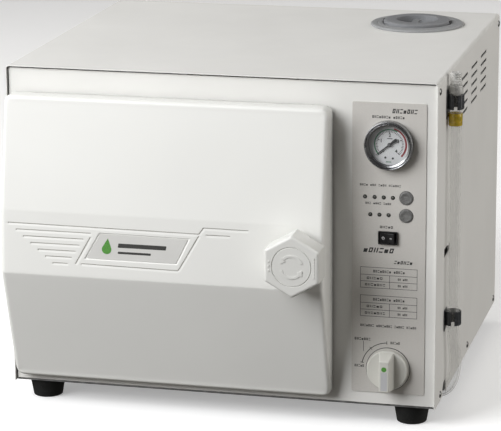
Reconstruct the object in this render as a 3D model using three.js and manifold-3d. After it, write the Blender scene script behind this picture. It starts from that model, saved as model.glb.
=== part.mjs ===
// Benchtop steam steriliser (autoclave) with a swing door, screw-down hexagonal lock knob,
// side control panel, water reservoir, drain valve and level hose.
// Millimetres, +Z up, front of the machine faces -Y. The model is drawn in the cabinet's own
// frame (x from the left edge, y from the front rim, z from the cabinet bottom), and the group
// is then moved so that the origin is the centre of the footprint, on the table.
import * as THREE from 'three';
import { mergeVertices } from 'three/addons/utils/BufferGeometryUtils.js';
import Module from 'manifold-3d';

const wasm = await Module();
wasm.setup();

// ---------------------------------------------------------------- driving dimensions
const CABINET = { width: 480, depth: 428, height: 362, edgeRadius: 4 };
const SHEET = 1.6;                       // folded sheet-metal thickness
const GAP = 0.3;                         // gap between touching pieces
const FRONT = { y: 3, margin: 1.2 };     // front face of the front panel, and the dark seam round it
const REAR = { y: 421, valveHole: 8 };   // inner face of the rear panel, hole over the safety valve
const REAR_VENT = { x0: 360, x1: 440, z0: 40, height: 3, pitch: 10, rows: 8 };
const PAN = { flange: 20, saddleHalf: 90, saddleY: [296, 300], saddleTop: 80 };
const FOOT = { height: 22, rTop: 20, rBottom: 16.5, insetX: 30, insetY: 28 };

const AXIS = { x: 186, z: 176 };         // chamber axis, along Y
const CHAMBER = { r: 116, wall: 2, flangeR: 130, front: -1.5, flange: 10, straight: 332, dish: 28 };
const STUB = { r: 9, bore: 5, length: 12, topY: 310, bottomY: 40 };
const HEATER = { r: 119.6, wall: 3, from: 70, to: 270, slit: 6 };
const JACKET = { r: 124, wall: 12, from: 20, to: 326 };
const SAFETY_VALVE = { neckR: 6, bodyR: 11, bodyY0: 385, bodyY1: 408, tip: 427 };

const TANK = { x0: 330, x1: 465, y0: 232, y1: 418, z0: 205, z1: 352, wall: 2.5 };
const NECK = { x: 396, y: 335, r: 34, bore: 31, top: 363 };
const FILLER = { r: 54.5, bore: 39.6, sleeveR: 42.5, sleeveZ: 353, z: 362.3, height: 2.7 };
const CAP = {
  r: 39.2, plugR: 30.4, z0: 355, seat: 363.6, top: 369, recessR: 23, floor: 361, barWidth: 8, bossR: 4.6,
};

const OVERLAY = { x0: 387.4, x1: 467.8, z0: 15.5, z1: 339, thickness: 0.5, radius: 2 };
const GAUGE = {
  x: 428, z: 293.5, bezelR: 26.5, bezelFront: -7, lipR: 21.4, lipBack: -4.8,
  caseR: 24, caseBack: 30, lensR: 23.6, dialR: 22.4, dialY: 2.4,
};
const POINTER = { y: 0.6, length: 19.4, tail: 10, thickness: 0.6, zeroAngle: -128 };
const LED = { r: 1.5, holeR: 2.45, flangeR: 1.9, tip: 1.1 };
const LED_ROW_1 = { z: 235.3, xs: [401.6, 412, 422, 432] };
const LED_ROW_2 = { z: 216, xs: [407.5, 417.4, 427.4] };
const BUTTON = {
  x: 446.5, upperZ: 235.7, lowerZ: 216, front: 1, r: 7.4, flangeR: 9, stemR: 2.5, stemEnd: 9.8,
};
const BOARD = {
  x0: 392, x1: 464, y0: 14, thickness: 1.6, z0: 203, z1: 252, keyHalf: 3, keyFront: 11.3,
  relay: { x: [398, 418], z: [208, 224], depth: 18 },
  connector: { x: [424, 456], z: [207, 214], depth: 12 },
};
const SWITCH = { x: 427, z: 191, width: 21.1, height: 14.3, bodyWidth: 19.2, bodyHeight: 12.8 };
const ROCKER = { halfLength: 8, halfHeight: 5.35, pivotY: 3.5, tilt: 7 };
const VALVE = {
  x: 428, z: 43.4, skirtR: 23.8, discR: 22.3, face: -6,
  barBase: 16.6, barNose: 10.6, barFront: -22, shaftR: 4.2,
};
const VALVE_GRIP = { tip: 21.6, nose: 19.4, shoulder: 13.6 };   // heights along the raised bar
const VALVE_BODY = { x0: 404, x1: 452, y0: 12, y1: 52, z0: 22, z1: 66 };

const PIN = { x: 16, y: -20, r: 3, bore: 3.35, headR: 4.8, knuckleR: 7 };
const HINGE = { z0: 148, z1: 204, ear: 16, earInset: 2 };
const COVER = { x0: 5.5, x1: 367, z0: 11, z1: 334.5, corner: 9, wall: 2.8, back: -3.2 };
const COVER_PROFILE = {
  top: -25, creaseHigh: { y: -45, z: 211 }, creaseLow: { y: -50, z: 141 }, bottom: -12,
};
const BEAM = { x0: 27, x1: 358, y0: -40, y1: -28, z0: 161, z1: 191 };
const COVER_BOSS = { xs: [80, 290], front: -43.6, r: 8 };
const LID = { r: 127, back: -14, front: -6, bossR: 16, bossY: -21.7, stepR: 114, step: 3 };
const GASKET = { r0: 117, r1: 127, y0: -5.7, y1: -1.8 };
const KNOB = { x: 340, z: 176, flats: 59.5, back: -53, front: -83, bevel: 2, grooveR: 22.5 };
const SPINDLE = { r: 6, tipR: 4.5, tip: 5, socket: -70 };
const WASHER = { r: 12, y0: -51.5, y1: -50 };
const NUT = { r: 12, bore: 7.2, flangeR: 17, front: -1.7, back: 14 };
const EMBLEM = { thickness: 0.5, corners: [[118.6, 190.3], [218.8, 189.6], [205.1, 161.8], [102.6, 162]] };

const HOSE = { x: 488.8, y: 60, r: 6.9, bore: 5, top: 349.5 };
const CLIP = { ringR: 9.2, plate: 2, halfWidth: 8, webHalf: 3, play: 0.5, mouth: [0.2, 2] };
const CLIP_UPPER = { ring: [323, 339], plate: [312, 345] };
const CLIP_LOWER = { ring: [81, 97], plate: [74, 98.5] };
const COLLAR = { r: 7.7, z0: 305, z1: 318.5 };
const PLUG = { spigotR: 4.4, headR: 6.1, boreR: 2.6, z0: 338, z1: 363 };
const HOSE_PORT = { y: 60, z: 4.6, r: 11, end: 466 };
const SIDE_SLOT = { y0: 50, y1: 84, z0: 158.5, z1: 168 };

const VENT = { length: 41.5, height: 2.5, columns: [152, 219, 286.5], top: 335.4, pitch: 9.98, rows: 5 };
const INLET = { x0: 70, z0: 44, width: 28, height: 48, y0: 395, flange: 4 };
const INLET_SOCKET = { depth: 15.9, low: 3, high: 20 };
const INLET_PINS = { length: 9, halfWidth: 2, places: [[-7, 9], [7, 9], [0, 14]] };
const RACK = { halfWidth: 94, sheet: 2, z0: 126, z1: 230, y0: 12, y1: 322, ledge: 10, shelves: [146, 196] };
const TRAY = { halfWidth: 91.4, y0: 15, y1: 318, height: 16, sheet: 1.2 };

const RIGHT_MOST = HOSE.x + CLIP.ringR;
const ORIGIN = {
  x: RIGHT_MOST / 2,
  y: (CABINET.depth + KNOB.front) / 2,
  z: -FOOT.height,
};

// ---------------------------------------------------------------- materials
function finish(color, roughness, metalness = 0, opacity = 1) {
  const transparent = opacity < 1;
  return new THREE.MeshStandardMaterial({ color, roughness, metalness, opacity, transparent });
}

const WHITE_PAINT = finish(0xe4e3dd, 0.45);
const DOOR_PLASTIC = finish(0xf0efea, 0.4);
const SILVER_FILM = finish(0xaeada3, 0.5);
const GREY_PLASTIC = finish(0x8d8d8f, 0.6);
const DARK_PLASTIC = finish(0x3a3b3d, 0.5);
const BLACK_PLASTIC = finish(0x141416, 0.35);
const BLACK_RUBBER = finish(0x1a1b1c, 0.8);
const KNOB_PLASTIC = finish(0xdbdad0, 0.4);
const STEEL = finish(0xb9bbbd, 0.3, 1);
const CHROME = finish(0xd5d7d9, 0.12, 1);
const BRASS = finish(0xb08d4c, 0.35, 1);
const AMBER = finish(0xb9822e, 0.3);
const CLEAR = finish(0xeaf0ee, 0.08, 0, 0.35);
const SILICONE = finish(0xd8d4cc, 0.6);
const MINERAL_WOOL = finish(0xb7a98a, 0.95);
const BOARD_GREEN = finish(0x2e6a44, 0.5);
const DIAL_WHITE = finish(0xf4f4f2, 0.5);
const TANK_PLASTIC = finish(0xcfd3d2, 0.5);
const LED_LENS = finish(0x6f7a60, 0.25);

// ---------------------------------------------------------------- solids and booleans
const AXES = {
  xy: [new THREE.Vector3(1, 0, 0), new THREE.Vector3(0, 1, 0), new THREE.Vector3(0, 0, 1)],
  xz: [new THREE.Vector3(1, 0, 0), new THREE.Vector3(0, 0, 1), new THREE.Vector3(0, -1, 0)],
  yz: [new THREE.Vector3(0, 1, 0), new THREE.Vector3(0, 0, 1), new THREE.Vector3(1, 0, 0)],
};

function signedVolume(position, index) {
  const [a, b, c] = [new THREE.Vector3(), new THREE.Vector3(), new THREE.Vector3()];
  let volume = 0;
  for (let i = 0; i < index.length; i += 3) {
    a.fromBufferAttribute(position, index[i]);
    b.fromBufferAttribute(position, index[i + 1]);
    c.fromBufferAttribute(position, index[i + 2]);
    volume += a.dot(b.cross(c)) / 6;
  }
  return volume;
}

// Turns a closed geometry into a solid: shared points merged, collapsed triangles dropped.
function solid(geometry) {
  const bare = geometry.clone();
  bare.deleteAttribute('normal');
  bare.deleteAttribute('uv');
  const merged = mergeVertices(bare, 1e-4);
  const faces = [];
  const index = merged.index.array;
  for (let i = 0; i < index.length; i += 3) {
    const [a, b, c] = [index[i], index[i + 1], index[i + 2]];
    if (a !== b && b !== c && c !== a) faces.push(a, b, c);
  }
  if (signedVolume(merged.attributes.position, faces) < 0) faces.reverse();
  return new wasm.Manifold(new wasm.Mesh({
    numProp: 3,
    vertProperties: new Float32Array(merged.attributes.position.array),
    triVerts: new Uint32Array(faces),
  }));
}

function join(first, ...others) {
  return others.reduce((sum, other) => sum.add(other), first);
}

function cut(body, ...tools) {
  return tools.reduce((rest, tool) => rest.subtract(tool), body);
}

function box(x0, x1, y0, y1, z0, z1) {
  const geometry = new THREE.BoxGeometry(x1 - x0, y1 - y0, z1 - z0);
  return solid(geometry.translate((x0 + x1) / 2, (y0 + y1) / 2, (z0 + z1) / 2));
}

// Round bars along Y or Z, and one along X.
function rodY(x, z, y0, y1, r, sides = 16) {
  const geometry = new THREE.CylinderGeometry(r, r, y1 - y0, sides);
  return solid(geometry.translate(x, (y0 + y1) / 2, z));
}

function rodZ(x, y, z0, z1, r, sides = 16) {
  const geometry = new THREE.CylinderGeometry(r, r, z1 - z0, sides).rotateX(Math.PI / 2);
  return solid(geometry.translate(x, y, (z0 + z1) / 2));
}

function rodX(y, z, x0, x1, r, sides = 16) {
  const geometry = new THREE.CylinderGeometry(r, r, x1 - x0, sides).rotateZ(-Math.PI / 2);
  return solid(geometry.translate((x0 + x1) / 2, y, z));
}

// Turned pieces: points are [radius, distance along the axis].
function turnY(points, x, z, sides = 16) {
  const profile = points.map(([r, y]) => new THREE.Vector2(r, y));
  return solid(new THREE.LatheGeometry(profile, sides).translate(x, 0, z));
}

function turnZ(points, x, y, sides = 16) {
  const profile = points.map(([r, z]) => new THREE.Vector2(r, z));
  return solid(new THREE.LatheGeometry(profile, sides).rotateX(Math.PI / 2).translate(x, y, 0));
}

// Extrudes an outline drawn in a plane; "from" and "to" are positions along the third axis.
function prism(shape, plane, from, to, options = {}) {
  const settings = { depth: to - from, bevelEnabled: false, curveSegments: 6, ...options };
  const geometry = new THREE.ExtrudeGeometry(shape, settings);
  const [u, v, w] = AXES[plane];
  const start = plane === 'xz' ? -to : from;
  geometry.translate(0, 0, start);
  return solid(geometry.applyMatrix4(new THREE.Matrix4().makeBasis(u, v, w)));
}

function outline(points) {
  return new THREE.Shape(points.map(([u, v]) => new THREE.Vector2(u, v)));
}

function roundedRect(u0, u1, v0, v1, r) {
  const shape = new THREE.Shape();
  shape.absarc(u1 - r, v0 + r, r, -Math.PI / 2, 0);
  shape.absarc(u1 - r, v1 - r, r, 0, Math.PI / 2);
  shape.absarc(u0 + r, v1 - r, r, Math.PI / 2, Math.PI);
  shape.absarc(u0 + r, v0 + r, r, Math.PI, 1.5 * Math.PI);
  return shape;
}

// A round tube or rod along a smooth curve through the points.
function pipe(points, r, steps, bore = 0, sides = 8) {
  const section = new THREE.Shape().absarc(0, 0, r, 0, 2 * Math.PI);
  if (bore > 0) section.holes.push(new THREE.Path().absarc(0, 0, bore, 0, 2 * Math.PI, true));
  const route = new THREE.CatmullRomCurve3(points.map((p) => new THREE.Vector3(...p)), false, 'centripetal');
  return solid(new THREE.ExtrudeGeometry(section, {
    steps, extrudePath: route, curveSegments: sides / 2, bevelEnabled: false,
  }));
}

const model = new THREE.Group();

function piece(name, body, material) {
  const data = body.getMesh();
  const geometry = new THREE.BufferGeometry();
  geometry.setAttribute('position', new THREE.BufferAttribute(new Float32Array(data.vertProperties), 3));
  geometry.setIndex(new THREE.BufferAttribute(new Uint32Array(data.triVerts), 1));
  const mesh = new THREE.Mesh(geometry, material);
  mesh.name = name;
  model.add(mesh);
}

// ---------------------------------------------------------------- cabinet
function hoodBlock(inset, y0, y1) {
  const { width, height, edgeRadius } = CABINET;
  const r = edgeRadius - inset;
  const shape = new THREE.Shape();
  shape.moveTo(inset, inset > 0 ? -1 : 0);
  shape.lineTo(width - inset, inset > 0 ? -1 : 0);
  shape.absarc(width - inset - r, height - inset - r, r, 0, Math.PI / 2);
  shape.absarc(inset + r, height - inset - r, r, Math.PI / 2, Math.PI);
  return prism(shape, 'xz', y0, y1, { curveSegments: 3 });
}

function ventSlots() {
  const slots = [];
  for (const y of VENT.columns) {
    for (let row = 0; row < VENT.rows; row += 1) {
      const z = VENT.top - row * VENT.pitch;
      const half = VENT.height / 2;
      slots.push(box(CABINET.width - 10, CABINET.width + 10, y, y + VENT.length, z - half, z + half));
    }
  }
  return slots;
}

function outerCover() {
  const shell = cut(hoodBlock(0, 0, CABINET.depth), hoodBlock(SHEET, -1, CABINET.depth + 1));
  const right = CABINET.width;
  const fillerHole = rodZ(NECK.x, NECK.y, CABINET.height - 10, CABINET.height + 10, FILLER.sleeveR + 0.5, 32);
  const hoseHole = rodX(HOSE_PORT.y, HOSE_PORT.z, right - 10, right + 10, HOSE_PORT.r);
  const sideSlot = box(right - 10, right + 10, SIDE_SLOT.y0, SIDE_SLOT.y1, SIDE_SLOT.z0, SIDE_SLOT.z1);
  return cut(shell, fillerHole, hoseHole, sideSlot, ...ventSlots());
}

function basePan() {
  const side = SHEET + GAP;
  const x1 = CABINET.width - side;
  const y0 = FRONT.y + SHEET + GAP;
  const y1 = REAR.y - GAP;
  const tray = cut(
    box(side, x1, y0, y1, 0, PAN.flange),
    box(side + SHEET, x1 - SHEET, y0 + SHEET, y1 - SHEET, SHEET, PAN.flange + 1),
  );
  const jacketR = (JACKET.r + JACKET.wall) / Math.cos(Math.PI / 32) + GAP;
  const { saddleHalf, saddleY, saddleTop } = PAN;
  const saddle = cut(
    box(AXIS.x - saddleHalf, AXIS.x + saddleHalf, saddleY[0], saddleY[1], SHEET / 2, saddleTop),
    rodY(AXIS.x, AXIS.z, saddleY[0] - 10, saddleY[1] + 10, jacketR, 32),
  );
  const hoseHole = rodX(HOSE_PORT.y, HOSE_PORT.z, HOSE_PORT.end - 2, x1 + 5, HOSE_PORT.r);
  return join(cut(tray, hoseHole), saddle);
}

// Flat panel that closes the hood at one end, with its top corners rounded to match.
function endSheet(y0, y1, margin) {
  const side = SHEET + margin;
  const bounds = box(side, CABINET.width - side, y0 - 1, y1 + 1, side, CABINET.height);
  return hoodBlock(side, y0, y1).intersect(bounds);
}

function frontPanel() {
  const y0 = FRONT.y;
  const y1 = FRONT.y + SHEET;
  const sheet = endSheet(y0, y1, FRONT.margin);
  const through = (x, z, r, sides) => rodY(x, z, y0 - 1, y1 + 1, r, sides);
  return cut(
    sheet,
    through(AXIS.x, AXIS.z, CHAMBER.flangeR + 1, 40),
    through(GAUGE.x, GAUGE.z, GAUGE.caseR + 0.5, 24),
    through(VALVE.x, VALVE.z, VALVE.shaftR + 1.2),
    through(KNOB.x, KNOB.z, NUT.r + 0.4),
    ...panelOpenings(y0 - 1, y1 + 1),
  );
}

// Holes that the panel and its printed film share: lamps, push buttons and rocker switch.
function panelOpenings(y0, y1) {
  const lamps = ledPlaces().map(({ x, z }) => rodY(x, z, y0, y1, LED.holeR, 8));
  const buttons = [BUTTON.upperZ, BUTTON.lowerZ].map((z) => rodY(BUTTON.x, z, y0, y1, BUTTON.r + 0.4));
  const halfWidth = SWITCH.bodyWidth / 2 + GAP;
  const halfHeight = SWITCH.bodyHeight / 2 + GAP;
  const rocker = box(
    SWITCH.x - halfWidth, SWITCH.x + halfWidth, y0, y1, SWITCH.z - halfHeight, SWITCH.z + halfHeight,
  );
  return [...lamps, ...buttons, rocker];
}

function rearPanel() {
  const y0 = REAR.y;
  const y1 = REAR.y + SHEET;
  const sheet = endSheet(y0, y1, GAP);
  const [inletX, inletZ] = [INLET.x0 - GAP, INLET.z0 - GAP];
  const inletHole = box(
    inletX, inletX + INLET.width + 2 * GAP, y0 - 1, y1 + 1, inletZ, inletZ + INLET.height + 2 * GAP,
  );
  const valveHole = rodY(AXIS.x, AXIS.z, y0 - 1, y1 + 1, REAR.valveHole);
  const { x0, x1, z0, height, pitch, rows } = REAR_VENT;
  const slots = [];
  for (let row = 0; row < rows; row += 1) {
    const z = z0 + row * pitch;
    slots.push(box(x0, x1, y0 - 1, y1 + 1, z, z + height));
  }
  return cut(sheet, inletHole, valveHole, ...slots);
}

function foot(x, y) {
  const { height, rTop, rBottom } = FOOT;
  const profile = [
    [0, -height], [rBottom - 1, -height], [rBottom, -height + 1], [rTop, -3], [rTop - 0.6, -GAP], [0, -GAP],
  ];
  return turnZ(profile, x, y);
}

piece('outer_cover', outerCover(), WHITE_PAINT);
piece('base_pan', basePan(), STEEL);
piece('front_panel', frontPanel(), WHITE_PAINT);
piece('rear_panel', rearPanel(), WHITE_PAINT);

const FOOT_X = { left: FOOT.insetX, right: CABINET.width - FOOT.insetX };
const FOOT_Y = { front: FOOT.insetY, rear: CABINET.depth - FOOT.insetY };
for (const [row, y] of Object.entries(FOOT_Y)) {
  for (const [side, x] of Object.entries(FOOT_X)) {
    piece(`foot_${row}_${side}`, foot(x, y), BLACK_RUBBER);
  }
}

// ---------------------------------------------------------------- pressure chamber
// Quarter-ellipse end dish, from the rim of the straight shell to the axis.
function dish(r, depth, start, steps = 4) {
  const points = [];
  for (let i = 0; i <= steps; i += 1) {
    const t = (i / steps) * (Math.PI / 2);
    points.push([i === steps ? 0 : r * Math.cos(t), start + depth * Math.sin(t)]);
  }
  return points;
}

function chamber() {
  const { r, wall, flangeR, front, flange, straight, dish: depth } = CHAMBER;
  const outside = [[flangeR, front], [flangeR, front + flange], [r + wall, front + flange]];
  const inside = dish(r, depth, straight).reverse();
  const profile = [...inside, [r, front], ...outside, ...dish(r + wall, depth + wall, straight)];
  const shell = turnY(profile, AXIS.x, AXIS.z, 36);
  const outer = AXIS.z + r + wall;
  const inner = AXIS.z - r - wall;
  const topStub = rodZ(AXIS.x, STUB.topY, outer - 1.4, outer + STUB.length, STUB.r, 16);
  const bottomStub = rodZ(AXIS.x, STUB.bottomY, inner - STUB.length, inner + 1.4, STUB.r, 16);
  const topBore = rodZ(AXIS.x, STUB.topY, outer - 20, outer + 20, STUB.bore, 12);
  const bottomBore = rodZ(AXIS.x, STUB.bottomY, inner - 20, inner + 20, STUB.bore, 12);
  return cut(join(shell, topStub, bottomStub), topBore, bottomBore);
}

function sleeve(r, wall, from, to, sides = 32) {
  const profile = [[r, from], [r + wall, from], [r + wall, to], [r, to], [r, from]];
  return turnY(profile, AXIS.x, AXIS.z, sides);
}

function insulationJacket() {
  const ring = sleeve(JACKET.r, JACKET.wall, JACKET.from, JACKET.to);
  const topHole = rodZ(AXIS.x, STUB.topY, AXIS.z, AXIS.z + 200, STUB.r + 1, 16);
  const bottomHole = rodZ(AXIS.x, STUB.bottomY, 0, AXIS.z, STUB.r + 1, 16);
  return cut(ring, topHole, bottomHole);
}

function heaterBand() {
  const half = HEATER.slit / 2;
  const ring = sleeve(HEATER.r, HEATER.wall, HEATER.from, HEATER.to);
  return cut(ring, box(AXIS.x - half, AXIS.x + half, 0, HEATER.to + 1, 0, AXIS.z - 50));
}

function safetyValve() {
  const start = CHAMBER.straight + CHAMBER.dish + CHAMBER.wall + GAP;
  const { neckR, bodyR, bodyY0, bodyY1, tip } = SAFETY_VALVE;
  return turnY([
    [0, start], [neckR, start], [neckR, bodyY0], [bodyR, bodyY0], [bodyR, bodyY1], [neckR, bodyY1],
    [neckR, tip], [0, tip],
  ], AXIS.x, AXIS.z, 12);
}

function ordered(a, b) {
  return a < b ? [a, b] : [b, a];
}

function trayRack() {
  const { halfWidth, sheet, z0, z1, y0, y1, ledge, shelves } = RACK;
  const bars = [];
  for (const side of [-1, 1]) {
    const [a, b] = ordered(AXIS.x + side * (halfWidth - sheet), AXIS.x + side * halfWidth);
    const plate = box(a, b, y0, y1, z0, z1);
    const windows = [0, 1, 2].flatMap((i) => [
      box(a - 1, b + 1, y0 + 12 + i * 100, y0 + 86 + i * 100, shelves[0] + 8, shelves[1] - 6),
      box(a - 1, b + 1, y0 + 12 + i * 100, y0 + 86 + i * 100, shelves[1] + 8, z1 - 8),
    ]);
    const [c, d] = ordered(AXIS.x + side * (halfWidth - ledge), AXIS.x + side * (halfWidth - sheet / 2));
    const ledges = shelves.map((z) => box(c, d, y0 + 1, y1 - 1, z, z + sheet));
    bars.push(join(cut(plate, ...windows), ...ledges));
  }
  const across = halfWidth - sheet / 2;
  for (const y of [y0 + 8, y1 - 12]) {
    bars.push(box(AXIS.x - across, AXIS.x + across, y, y + 4, z0 + 1, z0 + 4));
    bars.push(box(AXIS.x - across, AXIS.x + across, y, y + 4, z1 - 4, z1 - 1));
  }
  return join(...bars);
}

function tray(shelf) {
  const { halfWidth, y0, y1, height, sheet } = TRAY;
  const z0 = shelf + RACK.sheet + GAP;
  const [x0, x1] = [AXIS.x - halfWidth, AXIS.x + halfWidth];
  const pan = cut(
    box(x0, x1, y0, y1, z0, z0 + height),
    box(x0 + sheet, x1 - sheet, y0 + sheet, y1 - sheet, z0 + sheet, z0 + height + 1),
  );
  const slots = [];
  for (let row = 0; row < 6; row += 1) {
    for (const x of [AXIS.x - 42, AXIS.x + 42]) {
      slots.push(box(x - 30, x + 30, y0 + 30 + row * 46, y0 + 33.5 + row * 46, z0 - 1, z0 + sheet + 1));
    }
  }
  return cut(pan, ...slots);
}

piece('chamber', chamber(), STEEL);
piece('heater_band', heaterBand(), STEEL);
piece('insulation_jacket', insulationJacket(), MINERAL_WOOL);
piece('safety_valve', safetyValve(), BRASS);
piece('tray_rack', trayRack(), STEEL);
piece('tray_lower', tray(RACK.shelves[0]), STEEL);
piece('tray_upper', tray(RACK.shelves[1]), STEEL);

// ---------------------------------------------------------------- water system
const TANK_OUTLET = { x: 428, y: 260, r: 7, bore: 4, length: 9 };
const VALVE_TOP = { y: 34, r: 7, length: 10 };
const VALVE_SHAFT_END = 38;
const SOLENOID = {
  x: 372, y: 148, baseX: 20, baseY: 18, baseTop: 30, coilR: 16, coilTop: 72, stemR: 6, stemTop: 80,
  portZ: 16, portHalf: 32,
};
const TRANSFORMER = {
  core: { xy: [352, 446, 300, 392], top: 78 },
  coil: { xy: [366, 432, 286, 406], z: [20, 62] },
  feet: { xy: [340, 458, 312, 380], top: 6 },
};
const VALVE_SIDE = { y: 34, z: 36, r: 6, length: 8 };

function waterReservoir() {
  const { x0, x1, y0, y1, z0, z1, wall } = TANK;
  const { x, y, r, bore, length } = TANK_OUTLET;
  const tank = join(
    box(x0, x1, y0, y1, z0, z1),
    rodZ(NECK.x, NECK.y, z1 - 1, NECK.top, NECK.r, 24),
    rodZ(x, y, z0 - length, z0 + 1, r, 16),
  );
  const hollow = join(
    box(x0 + wall, x1 - wall, y0 + wall, y1 - wall, z0 + wall, z1 - wall),
    rodZ(NECK.x, NECK.y, z1 - wall - 1, NECK.top + 1, NECK.bore, 24),
    rodZ(x, y, z0 - length - 1, z0 + wall + 1, bore, 12),
  );
  return cut(tank, hollow);
}

function fillerRim() {
  const { r, bore, sleeveR, sleeveZ, z, height } = FILLER;
  const top = z + height;
  return turnZ([
    [bore, sleeveZ], [sleeveR, sleeveZ], [sleeveR, z], [r, z], [r, top - 1.2], [r - 1.5, top], [bore, top],
    [bore, sleeveZ],
  ], NECK.x, NECK.y, 32);
}

function reservoirCap() {
  const { r, plugR, z0, seat, top, recessR, floor, barWidth, bossR } = CAP;
  const block = turnZ([
    [0, z0], [plugR, z0], [plugR, seat], [r, seat], [r, top - 1.6], [r - 1.8, top], [0, top],
  ], NECK.x, NECK.y, 32);
  const recess = rodZ(NECK.x, NECK.y, floor, top + 1, recessR, 24);
  const half = barWidth / 2;
  const bar = box(NECK.x - half, NECK.x + half, NECK.y - recessR - 1, NECK.y, floor - 1, top - 1);
  const boss = rodZ(NECK.x, NECK.y, floor - 1, top - 1, bossR);
  return join(cut(block, recess), bar, boss);
}

function valveBody() {
  const { x0, x1, y0, y1, z0, z1 } = VALVE_BODY;
  const block = box(x0, x1, y0, y1, z0, z1);
  const topStub = rodZ(VALVE.x, VALVE_TOP.y, z1 - 1, z1 + VALVE_TOP.length, VALVE_TOP.r, 16);
  const sideStub = rodX(VALVE_SIDE.y, VALVE_SIDE.z, x0 - VALVE_SIDE.length, x0 + 1, VALVE_SIDE.r, 16);
  const shaftBore = rodY(VALVE.x, VALVE.z, y0 - 1, VALVE_SHAFT_END + 4, VALVE.shaftR + 0.4);
  return cut(join(block, topStub, sideStub), shaftBore);
}

function valveKnob() {
  const { x, z, skirtR, discR, face, barBase, barNose, barFront, shaftR } = VALVE;
  const back = FRONT.y - OVERLAY.thickness - 2 * GAP;
  const disc = turnY([
    [0, back], [skirtR, back], [skirtR, back - 0.8], [discR, back - 1.2], [discR - 0.6, face + 0.8],
    [discR - 1.8, face], [0, face],
  ], x, z, 32);
  const { tip, nose, shoulder } = VALVE_GRIP;
  const grip = outline([
    [face + 1, z - tip], [barFront + 1.6, z - tip + 0.6], [barFront, z - nose],
    [barFront, z + shoulder], [barFront + 1.8, z + shoulder + 2], [face + 1, z + tip],
  ]);
  const taper = outline([
    [x - barBase / 2, face + 1], [x + barBase / 2, face + 1],
    [x + barNose / 2, barFront], [x - barNose / 2, barFront],
  ]);
  const side = prism(grip, 'yz', x - barBase / 2, x + barBase / 2);
  const bar = side.intersect(prism(taper, 'xy', z - skirtR, z + skirtR));
  return join(disc, bar, rodY(x, z, back - 1, VALVE_SHAFT_END, shaftR));
}

function solenoidValve() {
  const { x, y, baseX, baseY, baseTop, coilR, coilTop, stemR, stemTop, portZ, portHalf } = SOLENOID;
  const base = box(x - baseX, x + baseX, y - baseY, y + baseY, SHEET + GAP, baseTop);
  const coil = rodZ(x, y, baseTop - 1, coilTop, coilR, 20);
  const stem = rodZ(x, y, coilTop - 1, stemTop, stemR, 12);
  return join(base, coil, stem, rodX(y, portZ, x - portHalf, x + portHalf, stemR, 12));
}

// Transformer: laminated core on mounting feet, with the winding bulging front and rear.
function powerSupply() {
  const floor = SHEET + GAP;
  const { core, coil, feet } = TRANSFORMER;
  return join(box(...core.xy, floor, core.top), box(...coil.xy, ...coil.z), box(...feet.xy, floor, feet.top));
}

piece('water_reservoir', waterReservoir(), TANK_PLASTIC);
piece('filler_rim', fillerRim(), GREY_PLASTIC);
piece('reservoir_cap', reservoirCap(), GREY_PLASTIC);
piece('valve_body', valveBody(), BRASS);
piece('valve_knob', valveKnob(), KNOB_PLASTIC);
piece('solenoid_valve', solenoidValve(), BRASS);
piece('power_supply', powerSupply(), DARK_PLASTIC);

const FILL_ROUTE = [
  [TANK_OUTLET.x, TANK_OUTLET.y, TANK.z0 - TANK_OUTLET.length - GAP], [428, 260, 170], [428, 200, 122],
  [428, 90, 108], [428, 40, 100], [428, 34, 88],
  [VALVE.x, VALVE_TOP.y, VALVE_BODY.z1 + VALVE_TOP.length + GAP],
];
const CHAMBER_ROUTE = [
  [AXIS.x, STUB.bottomY, AXIS.z - CHAMBER.r - CHAMBER.wall - STUB.length - GAP], [186, 40, 40],
  [194, 39, 31], [230, 36, 28], [330, 34, 28], [376, 34, 36],
  [VALVE_BODY.x0 - VALVE_SIDE.length - GAP, VALVE_SIDE.y, VALVE_SIDE.z],
];
const GAUGE_ROUTE = [
  [AXIS.x, STUB.topY, AXIS.z + CHAMBER.r + CHAMBER.wall + STUB.length + GAP], [186, 310, 318],
  [205, 285, 334], [300, 180, 334], [400, 100, 318], [428, 66, GAUGE.z], [GAUGE.x, 44.3, GAUGE.z],
];
piece('fill_pipe', pipe(FILL_ROUTE, 5, 12), CLEAR);
piece('chamber_pipe', pipe(CHAMBER_ROUTE, 4, 14), BRASS);
piece('gauge_pipe', pipe(GAUGE_ROUTE, 3, 16, 0, 6), BRASS);

// ---------------------------------------------------------------- control panel
function ledPlaces() {
  const places = [LED_ROW_1, LED_ROW_2].map(({ z, xs }) => xs.map((x) => ({ x, z })));
  return places.flat();
}

function controlOverlay() {
  const { x0, x1, z0, z1, thickness, radius } = OVERLAY;
  const y1 = FRONT.y - GAP;
  const y0 = y1 - thickness;
  const film = prism(roundedRect(x0, x1, z0, z1, radius), 'xz', y0, y1, { curveSegments: 3 });
  return cut(
    film,
    rodY(GAUGE.x, GAUGE.z, y0 - 1, y1 + 1, GAUGE.caseR + 0.5, 24),
    rodY(VALVE.x, VALVE.z, y0 - 1, y1 + 1, VALVE.shaftR + 1.2),
    ...panelOpenings(y0 - 1, y1 + 1),
  );
}

function controlBoard() {
  const { x0, x1, y0, thickness, z0, z1 } = BOARD;
  const board = box(x0, x1, y0, y0 + thickness, z0, z1);
  const { keyHalf, keyFront, relay, connector } = BOARD;
  const keys = [BUTTON.upperZ, BUTTON.lowerZ].map((z) => box(
    BUTTON.x - keyHalf, BUTTON.x + keyHalf, keyFront, y0 + 0.5, z - keyHalf, z + keyHalf,
  ));
  const parts = [relay, connector].map(({ x, z, depth }) => box(...x, y0 + 1, y0 + depth, ...z));
  return join(board, ...keys, ...parts);
}

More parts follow.
